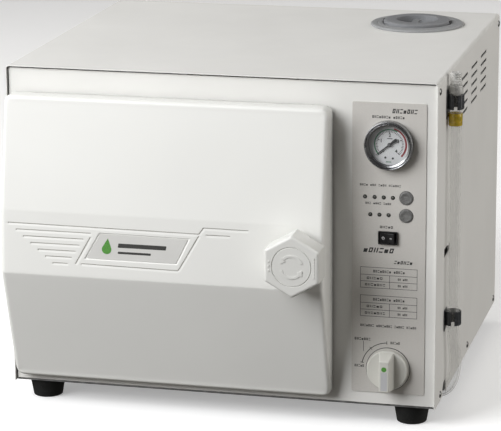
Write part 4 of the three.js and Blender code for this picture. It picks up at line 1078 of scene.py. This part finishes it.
def panel_print():
    x, z = across(middle("valve_knob"), "y")
    lines, text = [], []
    for z0, z1 in ((134, 157), (102, 125.5)):
        more_lines, more_text = table(397, 459, z0, z1, 429)
        lines += more_lines
        text += more_text
    for line in (
        (409, 444.4, 323.2, 2.8, (8, 5)), (396, 441, 248.5, 2.3, (4, 3, 4, 6)),
        (402, 430.5, 228.4, 2.3, (3, 4, 4)), (418.0, 432.9, 202.6, 2.7, (5,)),
        (397, 459, 91.5, 2.6, (7, 8, 5, 5)), (390.8, 408.9, z + 32.4, 2.8, (7,)),
        (430.4, 441.2, z + 29.7, 2.8, (5,)), (390.8, 401.8, z + 1.8, 2.8, (5,)),
    ):
        text += caption(*line)
    bold = [
        word(431, 458.6, 330.2, 4.8, 7, 0.2), word(400.5, 434.5, 176.5, 5.4, 6, 0.3, 1),
        word(434, 454.5, 164, 3.6, 6, 0.25, 2),
    ]
    lines.append(ring_sector(Vector((x, 0, z)), 28.9, 29.7, 93, 169, PRINT, FILM_LO.y + 0.1, 0))
    for angle in (93, 131, 169):
        c, s = cos(radians(angle)), sin(radians(angle))
        lines.append(stroke(x + 27.8 * c, z + 27.8 * s, x + 30.8 * c, z + 30.8 * s, 0.7))
    lines.append(stroke(x - 27.3, z + 18.8, x - 27.3, z + 30, 0.5))
    piece("panel_lines", together(*lines), INK_BLACK, slot="silver_film")
    piece("panel_captions", together(*text), INK_GREY, slot="silver_film")
    piece("panel_titles", together(*bold), INK_BLACK, slot="silver_film")


def cabinet_mark():
    """A plain ring, dot and bars printed on the sheet behind the door."""
    panel = span("front_panel")[0].y
    front, back = panel - 0.06, panel + 0.1
    centre = Vector((16, 0, 268.5))
    parts = [
        ring_sector(centre, 6.1, 8.0, 0, 360, front, back, 0),
        plate([circle(centre.x, centre.z, 2.2, 24)], front, back),
    ]
    for x0, x1, z in ((28, 46, 271.6), (28, 40, 266.4)):
        parts.append(plate([soften(rectangle(x0, x1, z - 1.1, z + 1.1), 0.8)], front, back))
    piece("cabinet_mark", together(*parts), ink("ink_mark_green", (0.06, 0.14, 0.08)), slot="silver_film")


def lamps():
    r, film = 1.5, FILM_LO.y
    for i, name in enumerate(LAMPS, 1):
        low, high = span(name)
        flange_r, seat = half_width(name), high.y - 1.2
        dome = [(r * sin(pi / 2 * k / 6), low.y + 1.5 * (1 - cos(pi / 2 * k / 6))) for k in range(1, 7)]
        profile = [(0, low.y), *dome, (r, seat), (flange_r, seat), (flange_r, high.y), (0, high.y)]
        skin = turned(profile, across(middle(name), "y"), sides=32)
        piece(f"lamp_lens_{i}", skin, LED, replaces=[name])
    profile = soften([
        (1.7, film - 0.15, 0.08), (2.3, film - 0.12, 0.1), (2.3, film - 0.02, 0.03),
        (2.0, film - 0.02, 0.03), (2.0, film + 1.5), (1.7, film + 1.5),
    ])
    rings = [turned(profile, across(middle(name), "y"), sides=32, loop=True) for name in LAMPS]
    piece("lamp_holders", together(*rings), BLACK, slot="black_plastic")


def buttons():
    r, seat = 7.4, 4.9
    for node, body in KEYS.items():
        low, high = span(node)
        centre = middle(node)
        flange_r = half_width(node)
        profile = [
            (0, low.y + 0.5), (3.4, low.y + 0.45, 2), (5.6, low.y, 1.2), (r, low.y + 0.5, 0.8),
            (r, seat, 0.1), (flange_r, seat, 0.1), (flange_r, seat + 1.2, 0.1), (2.5, seat + 1.2),
            (2.5, high.y), (0, high.y),
        ]
        lathe(f"key_{node}", centre, profile, KEYCAP, body, [node], sides=72)
        marks = []
        for z in (centre.z - 0.8, centre.z + 0.8):
            bar = soften(rectangle(centre.x - 2.4, centre.x + 2.2, z - 0.35, z + 0.35), 0.2)
            marks.append(plate([bar], low.y + 0.42, low.y + 0.7))
        piece(f"mark_{node}", together(*marks), INK_PALE, body, slot="grey_plastic")


ROCKER_TILT = radians(-7)
ROCKER_PIVOT_Y = 3.5


def rocker():
    centre = middle("switch_housing")
    low, high = span("rocker")
    half_height = (high.z - low.z) / 2
    wing = -5.2
    outline = soften([
        (-8, wing, 0.7), (-4, wing + 0.75, 6), (0, wing + 1.0, 6), (4, wing + 0.75, 6), (8, wing, 0.7),
        (8, wing + 3, 0.3), (3, 3, 0.3), (-3, 3, 0.3), (-8, wing + 3, 0.3),
    ])

    def tilt(u, v, z):
        c, s = cos(ROCKER_TILT), sin(ROCKER_TILT)
        return (centre.x + u * c - v * s, ROCKER_PIVOT_Y + u * s + v * c, centre.z + z)

    points, faces = flat([outline], 2 * half_height, 0.45, 2)
    piece("power_key", ([tilt(u, v, w) for u, v, w in points], faces), BLACK, "power_rocker", ["rocker"])
    ring = [circle(-4.3, 0, 1.55, 32), circle(-4.3, 0, 1.0, 32)]
    dash = [soften(rectangle(3.0, 5.6, -0.3, 0.3), 0.2)]
    marks = []
    for outlines in (ring, dash):
        points, faces = flat(outlines, 0.3)
        marks.append(([tilt(u, wing + 0.52 + w, v) for u, v, w in points], faces))
    piece("power_key_marks", together(*marks), INK_WHITE, "power_rocker", slot="black_plastic")


def valve_knob():
    front, high = span("valve_knob")[0].y, span("valve_knob")[1]
    axis = middle("valve_knob")
    centre = across(axis, "y")
    back, face = 1.9, -6.0
    shaft = turned([(0, back - 0.4), (4.2, back - 0.4), (4.2, high.y), (0, high.y)], centre, sides=32)
    disc = [(0, back - 0.3), (22.4, back - 0.3), (22.4, face + 1.2, 0.4), (21.6, face, 1.0), (0, face)]
    disc = turned(soften(disc, closed=False), centre, sides=128)
    piece("valve_disc", together(disc, shaft), KNOB_WHITE, "valve_handle", ["valve_knob"])
    skirt = [(22.5, back - 1.4, 0.2), (23.7, back - 1.2, 0.3), (23.7, back - 0.3), (22.5, back - 0.3)]
    lathe("valve_skirt", axis, skirt, FILM, "valve_handle", sides=128, loop=True, slot="silver_film")
    # A thin black ring just outside the skirt: painted shadow at the skirt's edge.
    shade = [(22.9, back - 0.25), (24.3, back - 0.25), (24.3, back), (22.9, back)]
    lathe("valve_painted_shadow", axis, shade, BLACK, "valve_handle", sides=128, loop=True, slot="black_plastic")
    rings = []
    for y, half, top, bottom in (
        (face + 0.6, 8.3, 21.0, -21.0), (face - 1, 7.9, 20.6, -20.8), (face - 6, 7.0, 18.8, -20.4),
        (front + 2.0, 5.7, 16.4, -19.8), (front + 0.7, 5.3, 15.7, -19.5), (front + 0.15, 4.9, 15.2, -19.1),
        (front, 4.4, 14.7, -18.6),
    ):
        outline = soften(rectangle(axis.x - half, axis.x + half, axis.z + bottom, axis.z + top), 1.4, steps=5)
        rings.append([(u, y, v) for u, v in outline])
    piece("valve_grip", loft(rings, caps=True), KNOB_WHITE, "valve_handle", sharp=50, slot="knob_plastic")
    strip = soften(rectangle(axis.x - 3.4, axis.x + 3.4, axis.z - 17.6, axis.z + 3.4), 0.6)
    strip = plate([strip], front - 0.05, front + 0.3)
    piece("valve_inlay", strip, INLAY, "valve_handle", slot="silver_film")
    dot = plate([circle(axis.x, axis.z + 6.6, 2.8, 40)], front - 0.06, front + 0.25)
    piece("valve_dot", dot, INK_GREEN, "valve_handle", slot="silver_film")


overlay()
panel_print()
cabinet_mark()
lamps()
buttons()
dress(BLACK, switch_housing=0.5)
rocker()
valve_knob()


# ---------------------------------------------------------------- pressure gauge
GAUGE = middle("gauge_bezel")
DIAL_FRONT = span("gauge_dial")[0].y
SCALE = {"zero": 225.0, "sweep": 270.0, "top": 4, "ring": 15.3}


def gauge_case():
    front, back = (corner.y for corner in span("gauge_bezel"))
    r = half_width("gauge_bezel")
    bezel = soften([
        (r, back, 0.1), (r, front + 1.6, 0.6), (r - 0.5, front + 0.2, 0.5), (r - 1.3, front, 0.4),
        (r - 1.9, front + 0.5, 0.3), (r - 2.2, front + 1.5, 0.2), (r - 2.8, front + 1.5, 0.2),
        (r - 3.1, front + 0.5, 0.3), (21.4, front + 1.9, 0.2), (21.4, front + 2.2, 0.1),
        (24.3, front + 2.2, 0.1), (24.3, back, 0.1),
    ], steps=5)
    centre = across(GAUGE, "y")
    piece("bezel_ring", turned(bezel, centre, sides=144, loop=True), CHROME, replaces=["gauge_bezel"])
    case = soften([
        (0, 30), (24, 30, 1.5), (24, -2, 0.2), (22.8, -2, 0.2), (22.8, 28.5, 0.8), (0, 28.5),
    ], closed=False)
    stub = turned([(0, 29), (5, 29), (5, 44), (0, 44)], centre, sides=32)
    piece("case_cup", together(turned(case, centre), stub), GAUGE_WALL, replaces=["gauge_case"])
    y0, y1 = (corner.y for corner in span("gauge_lens"))
    r = half_width("gauge_lens")
    lens = [(0, y0), (r, y0, 0.3), (r, y1, 0.3), (0, y1)]
    lathe("lens_disc", GAUGE, lens, GLASS, "cabinet", ["gauge_lens"])


def dial_point(share, r):
    """A point on the dial at a share of the full scale."""
    a = radians(SCALE["zero"] - SCALE["sweep"] * share)
    return GAUGE.x + r * cos(a), GAUGE.z + r * sin(a)


def dial_mark(outlines, edge=0.0):
    """Ink standing just proud of the dial."""
    return plate(outlines, DIAL_FRONT - 0.08, DIAL_FRONT + 0.1, edge)


def dial_arc(first, last, r0, r1):
    angles = (SCALE["zero"] - SCALE["sweep"] * share for share in (first, last))
    return ring_sector(GAUGE, r0, r1, *angles, DIAL_FRONT - 0.08, DIAL_FRONT + 0.1, 0)


def dial_tick(share, r0, r1, width):
    inner, outer = Vector(dial_point(share, r0)), Vector(dial_point(share, r1))
    side = (outer - inner).orthogonal().normalized() * width / 2
    return dial_mark([[tuple(inner - side), tuple(outer - side), tuple(outer + side), tuple(inner + side)]])


def dial_number(text, share):
    """A number standing upright on the dial."""
    curve = bpy.data.curves.new("number", "FONT")
    curve.body = text
    curve.size = 5.2
    curve.offset = 0.14
    curve.extrude = 0.06
    curve.align_x = curve.align_y = "CENTER"
    x, z = dial_point(share, 10.0)
    points, faces = curve_skin(curve)
    return [(x + u, DIAL_FRONT - 0.04 - w, z + v) for u, v, w in points], faces


def gauge_dial():
    low, high = span("gauge_dial")
    x, z = across(GAUGE, "y")
    disc = plate([circle(x, z, half_width("gauge_dial"), 128), circle(x, z, 1.4, 24)], low.y, high.y, 0.1)
    piece("dial_disc", disc, DIAL, replaces=["gauge_dial"])
    ring, top = SCALE["ring"], SCALE["top"]
    piece("dial_safe_arc", dial_arc(0.0, 0.61, 15.6, 17.0), INK_DIAL_GREEN, slot="dial_face")
    piece("dial_red_arc", dial_arc(0.555, 1.0, 16.8, 18.8), INK_RED, slot="dial_face")
    ticks = []
    for k in range(10 * top + 1):
        length, width = (3.2, 0.9) if k % 10 == 0 else (2.6, 0.6) if k % 5 == 0 else (2.0, 0.6)
        ticks.append(dial_tick(k / (10 * top), ring - length, ring, width))
    piece("dial_ticks", together(*ticks), INK_BLACK, slot="dial_face")
    numbers = [dial_number(str(k), k / top) for k in range(top + 1)]
    bars = [
        dial_mark([soften(rectangle(x + x0, x + x1, z + z0, z + z0 + 0.8), 0.3)])
        for x0, x1, z0 in ((-3.0, 3.0, 6.0), (-4.0, 1.7, -19.4))
    ]
    dots = [
        plate([circle(x + dx, z + dz, 1.15, 20)], DIAL_FRONT - 0.25, DIAL_FRONT + 0.1, 0.1)
        for dx, dz in ((-4.6, -14.4), (3.5, -15.0))
    ]
    piece("dial_numbers", together(*numbers, bars[0], *dots), INK_BLACK, slot="dial_face")
    piece("dial_note", bars[1], INK_DIAL_GREEN, slot="dial_face")


def pointer_cap():
    """The needle's turned hub cap."""
    front = span("gauge_pointer")[0].y
    profile = [(0, front - 0.35), (1.2, front - 0.35, 0.3), (1.6, front + 0.3), (0, front + 0.3)]
    lathe("pointer_cap", GAUGE, profile, GAUGE_WALL, "needle", sides=40, slot="dial_face")


gauge_case()
gauge_dial()
pointer_cap()
dress(BLACK, gauge_pointer=0.12)


# ---------------------------------------------------------------- filler and cap
def filler():
    low, top = span("filler_rim")[0], span("filler_rim")[1].z
    r, seat = half_width("filler_rim"), top - 2.7
    ring = [
        (39.6, low.z, 0.3), (42.5, low.z, 0.3), (42.5, seat), (r, seat, 0.2), (r, top - 1, 0.8),
        (r - 1.8, top, 1.0), (r - 7.5, top, 0.4), (r - 7.9, top - 0.35, 0.2), (r - 8.3, top, 0.3),
        (41.4, top, 0.8), (39.6, top - 1.4, 0.6),
    ]
    at = middle("filler_rim")
    lathe("filler_ring", at, ring, FILLER_GREY, "cabinet", ["filler_rim"], axis="z", sides=144, loop=True)


def cap():
    low, top = span("reservoir_cap")[0], span("reservoir_cap")[1].z
    axis = middle("reservoir_cap")
    x, y = centre = across(axis, "z")
    r, floor, recess_r = half_width("reservoir_cap"), 358.0, 24.2
    block = turned(soften([
        (0, low.z), (30.4, low.z, 0.6), (30.4, 363.6, 0.2), (r, 363.6, 0.3), (r, top - 1.4, 0.6),
        (r - 1.9, top - 0.4, 1.2), (r - 5, top, 2), (recess_r + 0.9, top, 0.4),
        (recess_r + 0.1, top - 0.6, 0.3), (recess_r - 0.4, floor + 2, 0.6), (recess_r - 3, floor, 1.5),
        (0, floor),
    ], closed=False, steps=5), centre, "z", 144)
    reach, half, boss = recess_r + 1, 4.0, 4.6
    lean = degrees(acos(half / boss))
    tongue = [(x - half, y - reach), (x + half, y - reach), *arc(x, y, boss, -lean, 180 + lean, 24)]
    # A darker disc on the recess floor: painted shade in the bowl.
    bowl_r = recess_r - 1.2
    bowl = [(0, floor - 0.2), (bowl_r, floor - 0.2), (bowl_r, floor + 0.6, 0.4), (0, floor + 0.3)]
    lathe("cap_bowl_shaded_floor", axis, bowl, BOWL_SHADE_GREY, "filler_lid", axis="z", slot="grey_plastic")
    skin = together(block, plate([tongue], floor - 0.5, top - 1, 0.5, 2, "z"))
    piece("cap_block", skin, GREY, "filler_lid", ["reservoir_cap"])
    # Black blocks at the cap's left and right edges: painted shade in the gaps between cap and ring.
    notches = []
    for a in (radians(182), radians(358)):
        u, v = x + (r - 0.2) * cos(a), y + (r - 0.2) * sin(a)
        notch = soften(rectangle(u - 1.1, u + 1.1, v - 2.4, v + 2.4), 0.5)
        notches.append(plate([notch], top - 3.2, top - 1.0, 0.2, axis="z"))
    piece("cap_notch_shade", together(*notches), BLACK, "filler_lid", slot="black_plastic")


filler()
cap()


# ---------------------------------------------------------------- level hose
HOSE_X, HOSE_Y = 488.8, 60
HOSE_ROUTE = [
    (HOSE_X, HOSE_Y, 349.5), (HOSE_X, HOSE_Y, 260), (HOSE_X, HOSE_Y, 160), (HOSE_X, HOSE_Y, 100),
    (HOSE_X, HOSE_Y, 78), (HOSE_X + 0.8, HOSE_Y + 3, 60), (HOSE_X + 1.8, HOSE_Y + 8, 42),
    (HOSE_X + 1.4, HOSE_Y + 8, 27), (HOSE_X - 1.2, HOSE_Y + 4, 14.5), (HOSE_X - 6, HOSE_Y + 1, 7),
    (476, HOSE_Y, 3.4), (466, HOSE_Y, 3),
]
HOSE_R, HOSE_BORE = 6.9, 5.0


def smooth_route(points, per_span=10):
    """A centripetal Catmull-Rom curve through the points."""
    nodes = [Vector(p) for p in points]
    nodes = [2 * nodes[0] - nodes[1], *nodes, 2 * nodes[-1] - nodes[-2]]
    out = []
    for a, b, c, d in zip(nodes, nodes[1:], nodes[2:], nodes[3:]):
        t1 = sqrt((b - a).length)
        t2 = t1 + sqrt((c - b).length)
        t3 = t2 + sqrt((d - c).length)
        for k in range(per_span):
            t = t1 + (t2 - t1) * k / per_span
            ab = a * ((t1 - t) / t1) + b * (t / t1)
            bc = b * ((t2 - t) / (t2 - t1)) + c * ((t - t1) / (t2 - t1))
            cd = c * ((t3 - t) / (t3 - t2)) + d * ((t - t2) / (t3 - t2))
            abc = ab * ((t2 - t) / t2) + bc * (t / t2)
            bcd = bc * ((t3 - t) / (t3 - t1)) + cd * ((t - t1) / (t3 - t1))
            out.append(abc * ((t2 - t) / (t2 - t1)) + bcd * ((t - t1) / (t2 - t1)))
    out.append(nodes[-2])
    return out


def tube(route, r, bore, sides=32):
    """A hollow tube: outer rings from start to end, then bore rings back again."""
    rings = {r: [], bore: []}
    side = Vector((0, 1, 0))
    for i, point in enumerate(route):
        ahead = route[min(i + 1, len(route) - 1)] - route[max(i - 1, 0)]
        ahead.normalize()
        side = (side - ahead * side.dot(ahead)).normalized()
        other = ahead.cross(side)
        for radius, out in rings.items():
            out.append([
                tuple(point + side * (radius * c) + other * (radius * s)) for c, s in circle(0, 0, 1, sides)
            ])
    return loft(rings[r] + rings[bore][::-1], loop=True)


def clip(node, name, low_z, high_z):
    """Back plate with an open snap ring round the hose, its mouth to the front, its outside ribbed."""
    low, high = span(node)
    wall, ring_r = low.x, high.x - HOSE_X
    corners = [(low.y, low.z), (high.y, low.z + 5), (high.y, high.z), (low.y, high.z)]
    back = plate([soften(corners, 1.2)], wall, wall + 1.0, 0.3, axis="x")
    outline = [(max(x, wall), y) for x, y in arc(HOSE_X, HOSE_Y, ring_r - 0.4, -68, 266, 60)]
    outline += arc(HOSE_X, HOSE_Y, HOSE_R + 0.5, 266, -68, 60)
    ring = plate([outline], low_z, high_z, 0.3, axis="z")
    ribs = []
    for angle in (-140, -122, -104, -62, -44, -26, -8, 10, 28, 46):
        a = radians(angle)
        x, y = HOSE_X + (ring_r - 0.5) * cos(a), HOSE_Y + (ring_r - 0.5) * sin(a)
        ribs.append(plate([circle(x, y, 0.5, 12)], low_z + 0.5, high_z - 0.5, 0.12, axis="z"))
    piece(name, together(back, ring, *ribs), DARK, replaces=[node])


def collar_and_plug():
    low, high = span("hose_collar")
    axis = middle("hose_collar")
    r, bore = half_width("hose_collar"), HOSE_R + 0.2
    ring = [
        (bore, low.z, 0.2), (r - 0.3, low.z, 0.4), (r, high.z - 3, 1), (r - 0.1, high.z, 0.4),
        (bore, high.z, 0.2),
    ]
    lathe("amber_collar", axis, ring, AMBER, "cabinet", ["hose_collar"], axis="z", sides=64, loop=True)
    low, high = span("hose_plug")
    r, seat = half_width("hose_plug"), HOSE_ROUTE[0][2] + 0.3
    cuff = [
        (bore, seat - 9.6, 0.1), (8.0, seat - 9.6, 0.3), (8.2, seat - 7, 2), (7.4, seat - 1.4, 1),
        (bore, seat - 1.2, 0.1),
    ]
    lathe("hose_cuff", axis, cuff, CLEAR, axis="z", sides=64, loop=True, slot="clear_tube")
    ribs = [(r, seat, 0.4)]
    for k in range(4):
        z = seat + 2.4 + 2.4 * k
        ribs += [(r, z, 0.3), (r - 0.75, z + 0.5, 0.25), (r - 0.75, z + 0.9, 0.25), (r, z + 1.4, 0.3)]
    plug = [
        (0, low.z), (4.0, low.z, 0.6), (4.3, seat, 0.2), *ribs, (r - 0.1, high.z, 0.8), (2.6, high.z, 0.5),
        (2.3, high.z - 7), (0, high.z - 7),
    ]
    lathe("plug_body", axis, plug, CLEAR, "hose_stopper", ["hose_plug"], axis="z", sides=64)
    # A black core in the plug's top: painted shade inside its bore.
    z0, z1 = high.z - 6.9, high.z - 1.2
    bore = [(0, z0), (2.2, z0), (2.2, z1), (0, z1)]
    lathe("plug_bore_shade", axis, bore, BLACK, "hose_stopper", axis="z", sides=32, slot="black_plastic")


piece("level_hose", tube(smooth_route(HOSE_ROUTE), HOSE_R, HOSE_BORE), HOSE, replaces=["drain_hose"])
clip("hose_clip_upper", "upper_snap_clip", 323, 339)
clip("hose_clip_lower", "lower_snap_clip", 81, 97)
collar_and_plug()


# ---------------------------------------------------------------- floor and light
# Azimuth and elevation in degrees (0 in front, positive to the right), distance and size in
# metres, power in watts, and colour.
COOL, WARM = (0.985, 0.99, 1.0), (1.0, 0.98, 0.95)
LIGHTS = {
    "key": (-40, 32, 2.6, 1.8, 82, COOL),
    "low_left": (-62, 2, 3.0, 2.0, 15, WARM),
    "rear_left": (-120, 40, 2.8, 1.4, 18, WARM),
    "side": (92, 14, 3.2, 2.4, 54, WARM),
    "edge": (70, 48, 3.0, 1.2, 4, COOL),
    "rear_right": (155, 35, 2.8, 1.6, 10, WARM),
}
WORLD = {"above": 0.04, "below": 0.13, "tone": (1.0, 0.94, 0.87)}
BACKDROP = {"half": 9.0, "behind": 4.5, "bend": 2.5, "rise": 6.0, "glow": 0.32}


def make_floor():
    half, behind, bend = BACKDROP["half"], BACKDROP["behind"], BACKDROP["bend"]
    steps = 24
    line = [(-half, 0.0), *arc(behind, bend, bend, -90, 0, steps), (behind + bend, BACKDROP["rise"])]
    points = [(x, y, z) for y, z in line for x in (-half, half)]
    mesh = bpy.data.meshes.new("floor")
    mesh.from_pydata(points, [], strip_faces(len(line) - 1))
    paper = Finish("pale_floor", (0.86, 0.86, 0.86), 0.75, specular=0.2, Emission_Color=(1.0, 1.0, 1.0, 1),
                   Emission_Strength=BACKDROP["glow"]).mottle(3, 0.015).relief(600, 0.03)
    mesh.materials.append(paper.material)
    for polygon in mesh.polygons:
        polygon.use_smooth = True
    floor = linked("floor", mesh)
    floor.location.z = CAD_BOX[0].z - 0.0003
    floor.visible_diffuse = False
    floor.visible_glossy = False


def softbox(name, azimuth, elevation, distance, size, power, colour):
    """A square area light aimed at the object."""
    way = bearing(azimuth, elevation)
    data = bpy.data.lights.new(name, "AREA")
    data.size = size
    data.energy = power
    data.color = colour
    light = linked(name, data)
    light.location = Vector((0, 0, 0.2)) + way * distance
    light.rotation_mode = "QUATERNION"
    light.rotation_quaternion = (-way).to_track_quat("-Z", "Y")


def make_world():
    """Dim studio walls: a little light from above, less from below the horizon."""
    world = bpy.data.worlds.new("studio")
    world.use_nodes = True
    nodes, links = world.node_tree.nodes, world.node_tree.links
    split = nodes.new("ShaderNodeSeparateXYZ")
    links.new(nodes.new("ShaderNodeTexCoord").outputs["Generated"], split.inputs[0])
    ramp = nodes.new("ShaderNodeValToRGB")
    height = nodes.new("ShaderNodeMapRange")
    height.inputs["From Min"].default_value = -1
    links.new(split.outputs["Z"], height.inputs["Value"])
    links.new(height.outputs["Result"], ramp.inputs["Fac"])
    for stop, position, part in zip(ramp.color_ramp.elements, (0.45, 0.56), ("below", "above")):
        stop.position = position
        stop.color = (*(c * WORLD[part] for c in WORLD["tone"]), 1)
    links.new(ramp.outputs["Color"], nodes["Background"].inputs["Color"])
    SCENE.world = world


def make_light():
    for name, light in LIGHTS.items():
        softbox(name, *light)
    SCENE.view_settings.view_transform = "Standard"
    SCENE.view_settings.look = "None"


make_floor()
make_world()
make_light()
